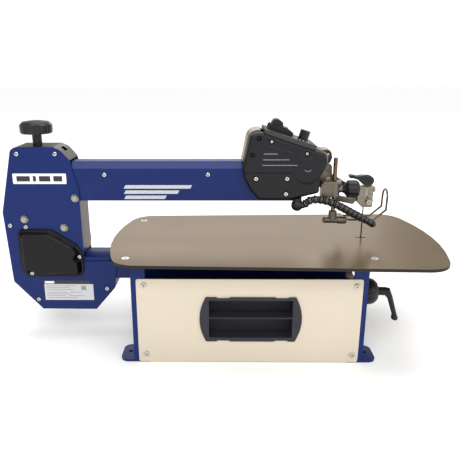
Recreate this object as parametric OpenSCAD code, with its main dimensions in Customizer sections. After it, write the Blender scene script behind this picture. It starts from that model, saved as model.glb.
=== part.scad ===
// Parallel-link scroll saw with a tilting head and a fixed table.
// Frame: +X runs from the column to the blade end, +Z is up, the origin is on the bench
// at the centre of the four mounting holes. Millimetres.

/* [Table] */
// Height of the table top over the bench
table_h = 213; // [205:1:225]
// Thickness of the steel table
table_t = 6; // [4:0.5:6]
// Half width of the table at its column end
table_hw_rear = 166; // [150:1:175]
// Half width of the table at its blade end
table_hw_front = 183; // [170:1:190]
// Corner radius of the table
table_r = 48; // [30:1:60]

/* [Base] */
// Half width of the base frame
base_hw = 130; // [126:1:132]
// Outer face of the end frames, from the centre
base_hx = 221; // [219:1:223]
// Spacing of the bench holes along the saw
foot_sx = 465; // [460:1:470]
// Spacing of the bench holes across the saw
foot_sy = 198; // [190:1:200]
// Radius of the bench holes
foot_r = 4.5; // [3.5:0.25:5.5]

/* [Blade and stroke] */
// Blade position along the saw
blade_x = 234; // [234:1:236]
// Blade width, front to back
blade_w = 3; // [2:0.25:3.5]
// Blade thickness
blade_t = 0.6; // [0.4:0.1:0.8]

/* [Controls] */
// Radius of the rear tension knob
tension_knob_r = 31; // [26:1:33]
// Radius of the tilt knob
tilt_knob_r = 28; // [24:1:28]
// Radius of the hold-down knob
hold_knob_r = 17; // [14:0.5:17]
// Radius of the speed knob
speed_knob_r = 9.5; // [8:0.5:11]

/* [Hidden] */
$fn = 48;
TZ = table_h;          // tilt axis height: the axis lies in the table top
// linkage: front rocker pivots, rod heights, rear rocker pivot
UX = 158; UZ = 335.228; LZ = 162; ZU = 358; ZL = 142; BU = 68;
RX = -365; RZ = 243; MX = -406; MZ = 168; ecc = 2.08;
CU = [226, 308]; CL = [226, 162];
// tilt gear: module 2, 103 teeth on the fixed sector, 16 on the pinion
GM = 2; GN = 103; PN = 16; LR = 119; LKZ = TZ - LR;

// ---- helpers ----
module xcyl(r, x0, x1, y = 0, z = 0, f = 48) translate([x0, y, z]) rotate([0, 90, 0]) cylinder(r = r, h = x1 - x0, $fn = f);
module ycyl(r, y0, y1, x = 0, z = 0, f = 48) translate([x, y1, z]) rotate([90, 0, 0]) cylinder(r = r, h = y1 - y0, $fn = f);
module zcyl(r, z0, z1, x = 0, y = 0, f = 48) translate([x, y, z0]) cylinder(r = r, h = z1 - z0, $fn = f);
module xz(p, y0, y1) translate([0, y1, 0]) rotate([90, 0, 0]) linear_extrude(y1 - y0) polygon(p);
module yz(p, x0, x1) translate([x0, 0, 0]) rotate([90, 0, 90]) linear_extrude(x1 - x0) polygon(p);
module box(x0, x1, y0, y1, z0, z1) translate([x0, y0, z0]) cube([x1 - x0, y1 - y0, z1 - z0]);
// round every corner of a polygon; each point is [x, y, r]
function unit(v) = v / norm(v);
function fillet(a, b, c, r, n = 6) =
  let (u = unit([a[0] - b[0], a[1] - b[1]]), w = unit([c[0] - b[0], c[1] - b[1]]),
       half = acos(max(-1, min(1, u * w))) / 2, d = r / tan(half), o = [b[0], b[1]] + unit(u + w) * (r / sin(half)),
       s = [b[0], b[1]] + u * d, e = [b[0], b[1]] + w * d,
       a0 = atan2(s[1] - o[1], s[0] - o[0]), a1 = atan2(e[1] - o[1], e[0] - o[0]),
       da = a1 - a0 > 180 ? a1 - a0 - 360 : (a1 - a0 < -180 ? a1 - a0 + 360 : a1 - a0))
  [for (i = [0:n]) o + r * [cos(a0 + da * i / n), sin(a0 + da * i / n)]];
function rounded(p, n = 6) = let (m = len(p)) [for (i = [0:m - 1]) let (b = p[i])
  each (b[2] > 0 ? fillet(p[(i + m - 1) % m], b, p[(i + 1) % m], b[2], n) : [[b[0], b[1]]])];
function rrect(x0, y0, x1, y1, r) = rounded([[x0, y0, r], [x1, y0, r], [x1, y1, r], [x0, y1, r]]);
// move every edge of a clockwise or counter-clockwise polygon inwards by d (ccw: d > 0 is inwards)
function inset(p, d) = let (m = len(p)) [for (i = [0:m - 1]) let (
  a = [p[(i + m - 1) % m][0], p[(i + m - 1) % m][1]], b = [p[i][0], p[i][1]], c = [p[(i + 1) % m][0], p[(i + 1) % m][1]],
  u = unit(b - a), w = unit(c - b), n1 = [-u[1], u[0]], n2 = [-w[1], w[0]], k = d / (1 + n1 * n2), q = b + k * (n1 + n2)) [q[0], q[1], max(0, (p[i][2]) - d)]];
// pan head screw seated at y = face, head towards -Y for s = 1
module pan_y(x, z, face, s = 1, r = 4.2, h = 2.6, shank = 2.4, l = 8) {
  difference() {
    translate([x, face, z]) rotate([s > 0 ? 90 : -90, 0, 0]) union() {
      cylinder(r = r, h = h * 0.55, $fn = 32);
      translate([0, 0, h * 0.55]) cylinder(r1 = r, r2 = r * 0.6, h = h * 0.45, $fn = 32);
      translate([0, 0, -l]) cylinder(r = shank, h = l + 0.1, $fn = 24);
    }
    translate([x, face - s * h, z]) rotate([90, 0, 0]) cylinder(r = 1.6, h = 2.4, center = true, $fn = 6);
  }
}
module hexbolt_y(x, z, face, s = 1, af = 13, h = 6, l = 6) {
  translate([x, face, z]) rotate([s > 0 ? 90 : -90, 0, 0]) {
    cylinder(r = af * 0.68, h = 1.4, $fn = 36);
    translate([0, 0, 1.4]) rotate(17) cylinder(r = af / 2 / cos(30), h = h - 1.4, $fn = 6);
    translate([0, 0, -l]) cylinder(r = 3.9, h = l + 0.1, $fn = 24);
  }
}
// arc-shaped slot about the tilt axis, angles from straight down towards +Y
module arc_slot(R, w, a0, a1, x0, x1) translate([x0, 0, TZ]) rotate([0, 90, 0]) {
  rotate(a0) rotate_extrude(angle = a1 - a0, $fn = 180) translate([R - w, 0]) square([2 * w, x1 - x0]);
  for (a = [a0, a1]) rotate(a) translate([R, 0, 0]) cylinder(r = w, h = x1 - x0, $fn = 32);
}
module arc_block(R0, R1, a0, a1, x0, x1) translate([x0, 0, TZ]) rotate([0, 90, 0])
  rotate(a0) rotate_extrude(angle = a1 - a0, $fn = 180) translate([R0, 0]) square([R1 - R0, x1 - x0]);

// ---- base ----
foot_holes = [for (y = [-1, 1]) y * foot_sy / 2];
panel_screws = [[-196, 161], [199, 160], [-196, 18], [200, 17]];
tscrew = [for (x = [-1, 1], y = [-1, 1]) [x * 228.5, y * 126]];
tr_screws = [-34, -12, 12, 34];
module end_frame(s) mirror([s > 0 ? 0 : 1, 0, 0]) difference() {
  union() {
    difference() {
      yz([[-base_hw, 0], [base_hw, 0], [base_hw, TZ - table_t], [-base_hw, TZ - table_t]], base_hx - 7, base_hx);
      intersection() { xcyl(140, base_hx - 8, base_hx + 1, 0, TZ, 120); box(base_hx - 9, base_hx + 2, -103, 103, 0, TZ + 5); }
    }
    for (m = [0, 1]) mirror([0, m, 0]) {
      box(194, base_hx - 6.9, -base_hw, -base_hw + 5, 0, TZ - table_t);
      translate([0, 0, 0]) linear_extrude(5) polygon(rounded([[base_hx - 1, -base_hw, 0], [base_hx + 27, -base_hw, 15], [base_hx + 27, -70, 15], [base_hx - 1, -70, 0]]));
      translate([0, 0, TZ - table_t - 5]) linear_extrude(5) polygon(rounded([[205, -140, 0], [243, -140, 6], [243, -108, 6], [205, -108, 0]]));
    }
    box(190, base_hx - 6.9, -base_hw, base_hw, 0, 5);
  }
  for (y = foot_holes) zcyl(foot_r, -1, 6, foot_sx / 2, y);
  for (p = tscrew) if (p[0] > 0) zcyl(3.1, TZ - 14, TZ, p[0], p[1]);
  for (p = panel_screws, m = [-1, 1]) if (p[0] * s > 0) ycyl(2.5, -base_hw - 1, -base_hw + 6, abs(p[0]) , p[1]);
  for (p = panel_screws) if (p[0] * s > 0) ycyl(2.5, base_hw - 6, base_hw + 1, abs(p[0]) , p[1]);
  for (a = tr_screws) translate([0, 0, TZ]) rotate([a, 0, 0]) xcyl(2.5, base_hx - 8, base_hx + 1, 0, -148);
}
module front_end_frame() color("#24469c") end_frame(1);
module rear_end_frame() color("#24469c") end_frame(-1);
module base_pan() color("#24469c") {
  box(-190, 190, -118, 118, 0, 2.5);
  for (y = [-118, 116]) box(-190, 190, y, y + 2, 2.5, 16);
}
tray_out = concat(
  rounded([[-84, 138, 4], [-84, 138.2, 0], [-60, 138.4, 0]]), []);
function arc3(x0, x1, z0, z1, b, n = 10) = [for (i = [0:n]) let (t = -1 + 2 * i / n) [x1 + b * (1 - t * t) , z0 + (z1 - z0) * (t + 1) / 2]];
tray_outline = concat([for (q = arc3(0, 88, 46.5, 138, 12)) q], [for (q = arc3(0, 81, 46.5, 138, 12)) [-q[0], 184.5 - q[1]]]);
module near_panel_shape(y0, y1) {
  // sheet with its top and bottom bands bent back a little
  xz(rrect(-211, 1, 211, 173, 4), y0, y1);
}
module near_side_panel() color("#ecdcc0") difference() {
  near_panel_shape(-base_hw - 2, -base_hw);
  box(-79, 86, -base_hw - 3, -base_hw + 1, 51, 134);
  for (p = panel_screws) ycyl(2.6, -base_hw - 3, -base_hw + 1, p[0], p[1]);
}
module far_side_panel() color("#ecdcc0") difference() {
  xz(rrect(-211, 1, 211, 173, 4), base_hw, base_hw + 2);
  for (p = panel_screws) ycyl(2.6, base_hw - 1, base_hw + 3, p[0], p[1]);
}
module storage_tray() color("#35353c") difference() {
  union() {
    xz(tray_outline, -base_hw - 5, -base_hw - 2);
    box(-78.5, 85.5, -base_hw - 2, -base_hw + 32, 51.5, 133.5);
  }
  box(-75, 82, -base_hw - 6, -base_hw + 29.5, 97, 131);
  box(-75, 82, -base_hw - 6, -base_hw + 29.5, 55, 94);
  for (x = [-60, 50], z = [45.5, 136]) box(x, x + 24, -base_hw - 6, -base_hw - 2, z, z + 3);
}
module base_screws() color("#c9c9c6") {
  for (p = panel_screws) { pan_y(p[0], p[1], -base_hw - 2, 1, 5, 3, 2.4, 7); pan_y(p[0], p[1], base_hw + 2, -1, 5, 3, 2.4, 7); }
  for (s = [-1, 1], a = tr_screws) mirror([s > 0 ? 0 : 1, 0, 0]) translate([0, 0, TZ]) rotate([a, 0, 0]) {
    xcyl(4.2, base_hx + 5, base_hx + 7.6, 0, -148, 24); xcyl(2.4, base_hx - 7, base_hx + 5.1, 0, -148, 24); }
}
module trunnion(s) mirror([s > 0 ? 0 : 1, 0, 0]) difference() {
  intersection() {
    difference() { xcyl(156, base_hx, base_hx + 5, 0, TZ, 160); xcyl(96, base_hx - 1, base_hx + 6, 0, TZ, 160); }
    box(base_hx - 1, base_hx + 6, -104, 104, 40, 172);
  }
  arc_slot(LR, 6.3, -48, 48, base_hx - 1, base_hx + 6);
  for (a = tr_screws) translate([0, 0, TZ]) rotate([a, 0, 0]) xcyl(2.55, base_hx - 1, base_hx + 6, 0, -148);
}
module front_trunnion_plate() color("#8f8b86") trunnion(1);
module rear_trunnion_plate() color("#8f8b86") trunnion(-1);

// ---- gear teeth, straight-flanked ----
function gear_pts(N, m, add, ded, bl, ph = 0) = let (rp = N * m / 2, ra = rp + add * m, rf = rp - ded * m,
   hp = 90 / N - bl / rp * 28.6479, tp = add * m * tan(20) / ra * 57.2958, td = ded * m * tan(20) / rf * 57.2958)
  [for (i = [0:N - 1]) let (c = ph + i * 360 / N) each [
    [rf * cos(c - hp - td), rf * sin(c - hp - td)], [rp * cos(c - hp), rp * sin(c - hp)], [ra * cos(c - hp + tp), ra * sin(c - hp + tp)],
    [ra * cos(c + hp - tp), ra * sin(c + hp - tp)], [rp * cos(c + hp), rp * sin(c + hp)], [rf * cos(c + hp + td), rf * sin(c + hp + td)]]];
module tilt_rack_sector() color("#a8a6a2") difference() {
  translate([base_hx - 6, 0, TZ]) rotate([0, 90, 0]) intersection() {
    linear_extrude(6) polygon(gear_pts(GN, GM, 0.85, 1.2, 0.3, 0));
    linear_extrude(6) polygon([[0, 0], [140 * cos(57), -140 * sin(57)], [160, -60], [170, 0], [160, 60], [140 * cos(57), 140 * sin(57)]]);
  }
  xcyl(96, base_hx - 7, base_hx + 1, 0, TZ, 160);
}
module tilt_pinion() color("#a8a6a2") difference() {
  translate([base_hx - 5.6, 0, LKZ]) rotate([0, 90, 0]) linear_extrude(5) polygon(gear_pts(PN, GM, 0.85, 1.2, 0.3, 180 / PN));
  xcyl(6.0, base_hx - 7, base_hx + 1, 0, LKZ);
}

// ---- table ----
function hw(x) = table_hw_rear + (table_hw_front - table_hw_rear) * (x + 240) / 560;
tab_pts = rounded(concat(
  [for (y = [-hw(-255):hw(-255) * 2 / 8:hw(-255)]) [-273 + 30 * pow(y / hw(-255), 2), -y, abs(y) > hw(-255) - 1 ? table_r : 0]],
  [for (y = [-hw(352):hw(352) * 2 / 8:hw(352)]) [380 - 34 * pow(y / hw(352), 2), y, abs(y) > hw(352) - 1 ? table_r : 0]]), 8);
module table() color("#a3947f") difference() {
  translate([0, 0, TZ - table_t]) linear_extrude(table_t) polygon(tab_pts);
  for (p = tscrew) { zcyl(3.1, TZ - 10, TZ + 1, p[0], p[1]); translate([p[0], p[1], TZ - 3.6]) cylinder(r1 = 3.1, r2 = 8.2, h = 3.7, $fn = 40); }
  yz([[-2, TZ + 1], [-2, TZ - 1], [-9, TZ - table_t - 1], [9, TZ - table_t - 1], [2, TZ - 1], [2, TZ + 1]], blade_x - 11, blade_x + 9);
}
module table_screws() color("#cfcdc6") for (p = tscrew) difference() {
  union() { zcyl(3, TZ - 16, TZ - 3.4, p[0], p[1], 24); translate([p[0], p[1], TZ - 3.5]) cylinder(r1 = 3, r2 = 7.4, h = 3.1, $fn = 40);
    difference() { zcyl(6, TZ - 16, TZ - 11.2, p[0], p[1], 6); } }
  zcyl(2.4, TZ - 2.6, TZ + 1, p[0], p[1], 6);
}

// ---- column ----
col = [[-447, 403, 14], [-374, 403, 10], [-361, 397, 16], [-345, 378, 0], [-330.5, 319, 8], [-330, 171, 0], [-266, 171, 0], [-266, 155, 0], [-270.6, 114, 0],
       [-312, 65.5, 3], [-424, 66, 3], [-479, 127, 4], [-485.5, 274, 6], [-457, 398, 12]];
colr = [for (i = [len(col) - 1:-1:0]) col[i]];
col_screws = [[-445, 390], [-371, 390], [-473, 247], [-431, 88], [-287, 112]];
col_bolts = [[-443, 260], [-365, 243], [-339, 303]];
cc_screws = [[-442, 244], [-339, 182], [-438, 147]];
module column_plate(s) difference() {
  xz(rounded(col), s < 0 ? -32 : 29, s < 0 ? -29 : 32);
  for (p = col_screws) ycyl(2.5, -40, 40, p[0], p[1], 24);
  for (p = col_bolts) ycyl(4, -40, 40, p[0], p[1], 24);
  if (s < 0) { for (p = cc_screws) ycyl(2.5, -40, 40, p[0], p[1], 24); ycyl(30, -40, 40, MX, MZ); }
  else { ycyl(9, 20, 40, MX, MZ); for (a = [45:90:315]) ycyl(2.5, 20, 40, MX + 38 * cos(a), MZ + 38 * sin(a), 24); }
}
module near_column_plate() color("#24469c") column_plate(-1);
module far_column_plate() color("#24469c") column_plate(1);
module column_cover_band() color("#8d857d") difference() {
  xz(rounded(col), -29, 29);
  xz(rounded(inset(colr, 2)), -30, 30);
  // the arms pass through the band
  box(-360, -320, -30, 30, 296, 376);
  box(-336, -260, -30, 30, 133, 187);
  zcyl(9.6, 395, 410, -413, 0);
  box(-366, -352, -9, 9, 392, 402);
}
module column_bolts() color("#c9c7bd") {
  for (p = col_bolts) {
    hexbolt_y(p[0], p[1], -32, 1, 13, 7, 3);
    hexbolt_y(p[0], p[1], 32, -1, 13, 7, 3);
  }
  for (i = [0, 2]) difference() { ycyl(i == 0 ? 9 : 7, -29, 29, col_bolts[i][0], col_bolts[i][1]); ycyl(4, -30, 30, col_bolts[i][0], col_bolts[i][1]); }
}
arm_screws = [[-279, 349], [-78, 349]];
head_screws = [[18, 421], [6, 390], [42, 412], [109, 388], [14, 344], [73, 344], [72, 314]];
module frame_screws() color("#d2d2d0") {
  for (p = col_screws) { pan_y(p[0], p[1], -32, 1, 4.4, 2.8, 2.4, 2.9); pan_y(p[0], p[1], 32, -1, 4.4, 2.8, 2.4, 2.9); }
  for (i = [0:2]) pan_y(cc_screws[i][0], cc_screws[i][1], i == 0 ? -32 : -35, 1, 4, 2.6, 2.4, i == 0 ? 2.9 : 5);
  for (p = arm_screws) { pan_y(p[0], p[1], -29, 1, 4.6, 2.8, 2.4, 3.4); pan_y(p[0], p[1], 29, -1, 4.6, 2.8, 2.4, 3.4); }
  for (p = head_screws) { pan_y(p[0], p[1], -46.5, 1, 4.4, 2.8, 2.4, 4); pan_y(p[0], p[1], 46.5, -1, 4.4, 2.8, 2.4, 4); }
}
module crank_cover() color("#2b2b30") difference() {
  union() {
    xz(rounded([[-460, 231, 6], [-453, 240, 6], [-393, 240, 8], [-342, 208, 14], [-332, 190, 10], [-331, 150, 8], [-338, 139, 8], [-450, 139, 8], [-460, 158, 8]]), -35, -32);
    hull() {
      xz(rounded([[-455, 233, 5], [-395, 233, 6], [-347, 205, 12], [-338, 188, 10], [-337, 150, 6], [-342, 145, 6], [-446, 145, 6], [-454, 162, 6]]), -36, -35);
      xz(rounded([[-445, 225, 5], [-397, 225, 6], [-358, 202, 12], [-350, 188, 10], [-349, 162, 6], [-356, 156, 6], [-438, 156, 6], [-445, 170, 6]]), -47, -46);
    }
  }
  hull() {
    xz([[-450, 228], [-396, 228], [-352, 202], [-343, 188], [-342, 150], [-442, 150], [-449, 164]], -35, -31.9);
    xz([[-441, 221], [-399, 221], [-362, 199], [-354, 186], [-353, 166], [-436, 161], [-441, 172]], -44, -43);
  }
  for (i = [1, 2]) ycyl(2.5, -50, -30, cc_screws[i][0], cc_screws[i][1], 24);
  for (i = [1, 2]) ycyl(6.5, -60, -35, cc_screws[i][0], cc_screws[i][1], 24);
}
module motor_housing() color("#2b2b30") difference() {
  union() { ycyl(48, 32, 138, MX, MZ); ycyl(52, 32, 36, MX, MZ); }
  ycyl(44, 37, 139, MX, MZ); ycyl(6.05, 30, 40, MX, MZ);
  for (a = [45:90:315]) ycyl(2.4, 30, 34.5, MX + 38 * cos(a), MZ + 38 * sin(a), 24);
  for (a = [60:15:120]) translate([MX, 0, MZ]) rotate([0, -a, 0]) box(40, 50, 60, 120, -1.6, 1.6);
}
module motor_end_cap() color("#2b2b30") difference() {
  union() { ycyl(48, 138, 146, MX, MZ); ycyl(43.9, 134, 138, MX, MZ); ycyl(16, 146, 150, MX, MZ);
    translate([MX - 24, 146, MZ - 22]) rotate([-90, 0, 0]) { cylinder(r = 9, h = 4, $fn = 6); cylinder(r = 7, h = 12); } }
  ycyl(6.05, 132, 148, MX, MZ);
  ycyl(3.6, 133, 160, MX - 24, MZ - 22);
}
module motor_rotor() color("#b5b1aa") union() {
  ycyl(6, -24, 147.5, MX, MZ);
  difference() { ycyl(33, 52, 122, MX, MZ); for (a = [0:30:330]) translate([MX, 0, MZ]) rotate([0, a, 0]) box(24, 36, 50, 124, -1.5, 1.5); }
  ycyl(10, -8, 8, MX + 0, MZ + ecc);
  ycyl(14, 14, 18, MX, MZ);
}

// ---- arms ----
ua_out = [[-27.5, 297], [27.5, 297], [29, 331], [29, 361], [13.5, 373], [-13.5, 373], [-29, 361], [-29, 331]];
ua_in = [[-24.5, 300], [24.5, 300], [26, 331], [26, 359.5], [12.5, 370], [-12.5, 370], [-26, 359.5], [-26, 331]];
module upper_arm() color("#24469c") difference() {
  union() { yz(ua_out, -358, 120); }
  yz(ua_in, -360, 122);
  for (p = arm_screws) ycyl(2.5, -40, 40, p[0], p[1], 24);
  // the tie bolt of the column passes the arm's root
  ycyl(7.1, -40, 40, col_bolts[2][0], col_bolts[2][1]);
  // the rear rocker swings in the open root
  box(-359, -346, -14, 14, 290, 301);
  // the root is cut back along the column's corner
  xz([[-360, 377], [-344, 377], [-349, 362], [-360, 330]], -40, 40);
  // the front end is open below for the rocker
  box(100, 121, -40, 40, 290, 340);
}
la_out = [[-29, 134], [29, 134], [29, 173], [13.5, 180], [-13.5, 180], [-29, 173]];
la_root = [[-29, 134], [29, 134], [29, 179], [13.5, 186], [-13.5, 186], [-29, 179]];
la_in = [[-25.5, 137], [25.5, 137], [25.5, 171], [12.5, 176.5], [-12.5, 176.5], [-25.5, 171]];
module lower_arm() color("#24469c") difference() {
  union() { yz(la_out, -400 + 25, 202); yz(la_root, -330, -279); }
  yz(la_in, -400, 210);
  xz([[181, 181], [203, 171], [230, 171], [230, 190], [181, 190]], -40, 40);
  ycyl(6.05, -40, 40, UX, LZ);
  // root notch for the connecting rod and the crank
  xz([[-376, 130], [-352, 130], [-352, 185], [-376, 185]], -26, 26);
}
module front_tilt_bracket() color("#8f8b86") union() {
  box(120, 208, -24, 24, 128, 134);
  difference() {
    yz(rounded([[-18, 78, 10], [18, 78, 10], [30, 118, 0], [30, 134, 0], [-30, 134, 0], [-30, 118, 0]]), 207, 213);
    xcyl(4.1, 200, 220, 0, LKZ);
  }
  arc_block(84, 95.9, -20, 20, 212.9, base_hx + 5);
}
module rear_tilt_bracket() color("#8f8b86") union() {
  box(-213, -150, -24, 24, 128, 134);
  yz(rounded([[-18, 78, 10], [18, 78, 10], [30, 118, 0], [30, 134, 0], [-30, 134, 0], [-30, 118, 0]]), -213, -207);
  mirror([1, 0, 0]) difference() { arc_block(84, 95.9, -20, 20, 212.9, base_hx + 5); box(200, 240, -31, 31, 134, 150); }
  xcyl(6, -base_hx - 9, -212, 0, LKZ);
  xcyl(10, -base_hx - 9, -base_hx - 5.2, 0, LKZ);
}

// ---- head ----
hc = [[-7, 385, 8], [-12, 366, 10], [-9, 345, 10], [3, 322, 14], [20, 302, 8], [80, 302, 10], [136, 316, 6], [136, 348, 8], [149, 374, 10], [149, 389, 10], [124, 398, 4],
      [22, 432, 4], [2, 431, 16]];
module head_cover(s) mirror([0, s > 0 ? 1 : 0, 0]) difference() {
  union() {
    hull() {
      xz(rounded(hc, 3), -45, -29);
      xz(rounded(inset(hc, 4), 3), -48, -47.9);
    }
    // raised round boss over the front pivot
    ycyl(30, -50, -47, 108, 362);
    for (r = [[27, 54, 392], [26, 76, 381], [24, 97, 371]]) box(r[0], r[1], -49.5, -47.5, r[2] - 1.2, r[2] + 1.2);
  }
  xz(rounded(inset(hc, 3), 3), -45, -28);
  for (p = head_screws) ycyl(2.5, -60, -28, p[0], p[1], 24);
  for (p = head_screws) ycyl(6.2, -60, -46.5, p[0], p[1], 24);
}
module near_head_cover() color("#323238") head_cover(-1);
module far_head_cover() color("#323238") head_cover(1);
module head_cover_band() color("#a89a88") difference() {
  union() {
    difference() { xz(rounded(inset(hc, -3), 3), -28.9, 28.9); xz(rounded(hc, 3), -30, 30); }
  }
  box(-40, 20, -30, 30, 296, 375);
  box(-20, 160, -30, 30, 290, 350);
  box(22, 127.5, -30, 30, 385, 440);
  // clearance for the nose and the rocker
  box(124, 160, -19, 19, 345, 394);
}
module nose_guard() color("#26262a") difference() {
  union() {
    xz(rounded([[147.5, 369, 0], [158, 369, 4], [162, 380, 5], [160, 391, 6], [152, 394.5, 3], [144, 394.5, 0]]), -18.5, 18.5);
  }
  box(140, 155, -14, 14, 358, 389);
}
function cbot(x) = 432.05 - (x - 22) / 3;   // top edge of the head covers
function ctop(x) = 437 - 31 / 97 * (x - 30);   // top of the control box
function cflr(x) = ctop(x) + 2.2;              // floor of the switch housing
module control_box() color("#4a4a52") difference() {
  xz([[32, cbot(32)], [120, cbot(120)], [126, 400], [127, ctop(127)], [30, ctop(30)], [28.5, 431]], -45, 45);
  xz([[36, 424], [119, 398], [121, 404], [38, 430]], -40, 40);
  translate([103, -12, 411]) rotate([0, 17.7, 0]) cylinder(r = 3.1, h = 30, center = true, $fn = 24);
}
module switch_housing() color("#2b2b30") difference() {
  union() {
    difference() {
      xz(rounded([[36, ctop(36) + 0.01, 0], [84, ctop(84) + 0.01, 0], [86, 427, 4], [70, 437, 3], [40, 445, 3]]), -16, 16);
      xz([[34, cflr(34)], [78, cflr(78)], [81, 440], [34, 456]], -11, 11);
    }
    ycyl(2, -16, 16, 47, 441.5);
  }
}
module switch_paddle() color("#2b2b30") difference() {
  union() {
    xz(rounded([[44.5, cflr(44.5) + 1.2, 0], [64, cflr(64) + 1.4, 0], [66.5, 438, 3], [66, 446, 5], [57, 452.8, 6], [49, 453, 5], [44.5, 446, 4]]), -10.5, 10.5);
  }
  ycyl(2.06, -12, 12, 47, 441.5);
}
module switch_key() color("#c02a22") xz(rounded([[67.4, cflr(67.4) + 0.05, 0], [75, cflr(75) + 0.05, 0], [77, 432, 1.5], [76, 436, 1.5], [68.5, 438.4, 1.5]]), -7, 7);
module speed_knob() color("#232327") translate([103, -12, 411]) rotate([0, 17.7, 0]) difference() {
  union() { cylinder(r = 3.04, h = 8, $fn = 24);
    translate([0, 0, 2.8]) cylinder(r = speed_knob_r + 1.5, h = 1.8, $fn = 40);
    translate([0, 0, 4.5]) cylinder(r = speed_knob_r, h = 17, $fn = 40); }
  for (a = [0:30:330]) rotate(a) translate([speed_knob_r + 0.6, 0, 8]) cylinder(r = 1.1, h = 20, $fn = 16);
}
module head_casting() color("#a79c8d") difference() {
  union() {
    for (s = [-1, 1]) mirror([0, s > 0 ? 0 : 1, 0]) {
      xz(rounded([[40, 312, 0], [120, 320, 0], [150, 321, 6], [170, 327, 8], [168, 344, 8], [150, 356, 6], [120, 366, 0], [40, 366, 0]]), 8.2, 13);
      intersection() { yz(ua_in, 40, 52); box(40, 52, 8.2, 40, 300, 370); }
    }
    intersection() { yz(ua_in, 40, 52); box(40, 52, -40, 40, 300, 330); }
  }
  ycyl(6.05, -40, 40, UX, UZ);
}
module pivot_pins() color("#c9c7bd") {
  ycyl(6, -13, 14, UX, UZ); ycyl(9, 13, 19, UX, UZ, 6);
  ycyl(6, -30, 30, UX, LZ); for (s = [-31, 29]) ycyl(8, s, s + 2, UX, LZ);
  difference() { ycyl(7, -29, 29, RX, RZ); ycyl(4, -30, 30, RX, RZ); }
}
module upper_push_rod() color("#b5b1aa") difference() {
  union() { xcyl(4, RX + 12, UX - 13, 0, ZU); ycyl(8, -3, 3, RX, ZU); ycyl(8, -3, 3, UX, ZU);
    box(RX, RX + 14, -3, 3, ZU - 4, ZU + 4); box(UX - 14, UX, -3, 3, ZU - 4, ZU + 4); }
  ycyl(3.3, -10, 10, RX, ZU); ycyl(3.3, -10, 10, UX, ZU);
}
module lower_push_rod() color("#b5b1aa") difference() {
  union() { xcyl(3.2, RX + 12, UX - 13, 0, ZL); ycyl(4.6, -3, 3, RX, ZL); ycyl(4.6, -3, 3, UX, ZL);
    box(RX, RX + 14, -3, 3, ZL - 3, ZL + 3); box(UX - 14, UX, -3, 3, ZL - 3, ZL + 3); }
  ycyl(2.9, -10, 10, RX, ZL); ycyl(2.9, -10, 10, UX, ZL);
}
module rear_rocker() color("#a79c8d") difference() {
  union() {
    for (s = [-1, 1]) mirror([0, s > 0 ? 0 : 1, 0]) xz(rounded([[RX - 7, ZL - 4, 3], [RX + 7, ZL - 4, 3], [RX + 9, 210, 0], [RX + 16, RZ, 10], [RX + 9, 280, 0], [RX + 8, ZU + 8, 6], [RX - 8, ZU + 8, 6], [RX - 9, 280, 0], [RX - 16, RZ, 10], [RX - 9, 210, 0]]), 8.2, 12.2);
    ycyl(14, -12.2, 12.2, RX, RZ);
    ycyl(3, -8.5, 8.5, RX, ZU); ycyl(2.6, -8.5, 8.5, RX, ZL); ycyl(3, -8.5, 8.5, RX, MZ);
  }
  ycyl(7.06, -20, 20, RX, RZ);
}
module connecting_rod() color("#a79c8d") difference() {
  union() { ycyl(20, -6.5, 6.5, MX, MZ); ycyl(7, -6.5, 6.5, RX, MZ); box(MX + 12, RX, -5, 5, MZ - 5, MZ + 5); }
  ycyl(14.6, -10, 10, MX, MZ); ycyl(3.15, -10, 10, RX, MZ);
}
module upper_rocker() color("#a79c8d") difference() {
  union() {
    xz(rounded([[UX - 6, UZ - 4, 0], [172, 301, 3], [176, 292, 3], [211, 284.5, 4], [216.5, 291, 4], [219, 302.5, 0], [234, 302.5, 4], [235.5, 308, 4], [233, 313.4, 4], [216, 315, 4], [164, 347, 0], [UX - 6, 347, 0]]), -5.8, 5.8);
    ycyl(13, -7.8, 7.8, UX, UZ);
    xz([[UX - 8, UZ], [UX + 8, UZ], [UX + 7, ZU], [UX - 7, ZU]], 3.2, 7.6);
    xz([[UX - 8, UZ], [UX + 8, UZ], [UX + 7, ZU], [UX - 7, ZU]], -7.6, -3.2);
    ycyl(7, 3.2, 7.6, UX, ZU); ycyl(7, -7.6, -3.2, UX, ZU);
    ycyl(3, -7, 7, UX, ZU);
  }
  xz(rounded([[183, 301, 3], [208, 295.5, 3], [210, 307, 3], [184, 323, 3]]), -10, 10);
  ycyl(6.06, -20, 20, UX, UZ);
  // room for the eye of the push rod
  difference() { ycyl(9.5, -3.2, 3.2, UX, ZU); ycyl(3, -4, 4, UX, ZU); }
  // slot for the pin of the blade clamp
  xz(rounded([[CU[0] - 6.4, CU[1] - 3.4, 3.3], [CU[0] + 7.8, CU[1] - 3.4, 3.3], [CU[0] + 7.8, CU[1] + 3.4, 3.3], [CU[0] - 6.4, CU[1] + 3.4, 3.3]], 8), -10, 10);
}
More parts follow.
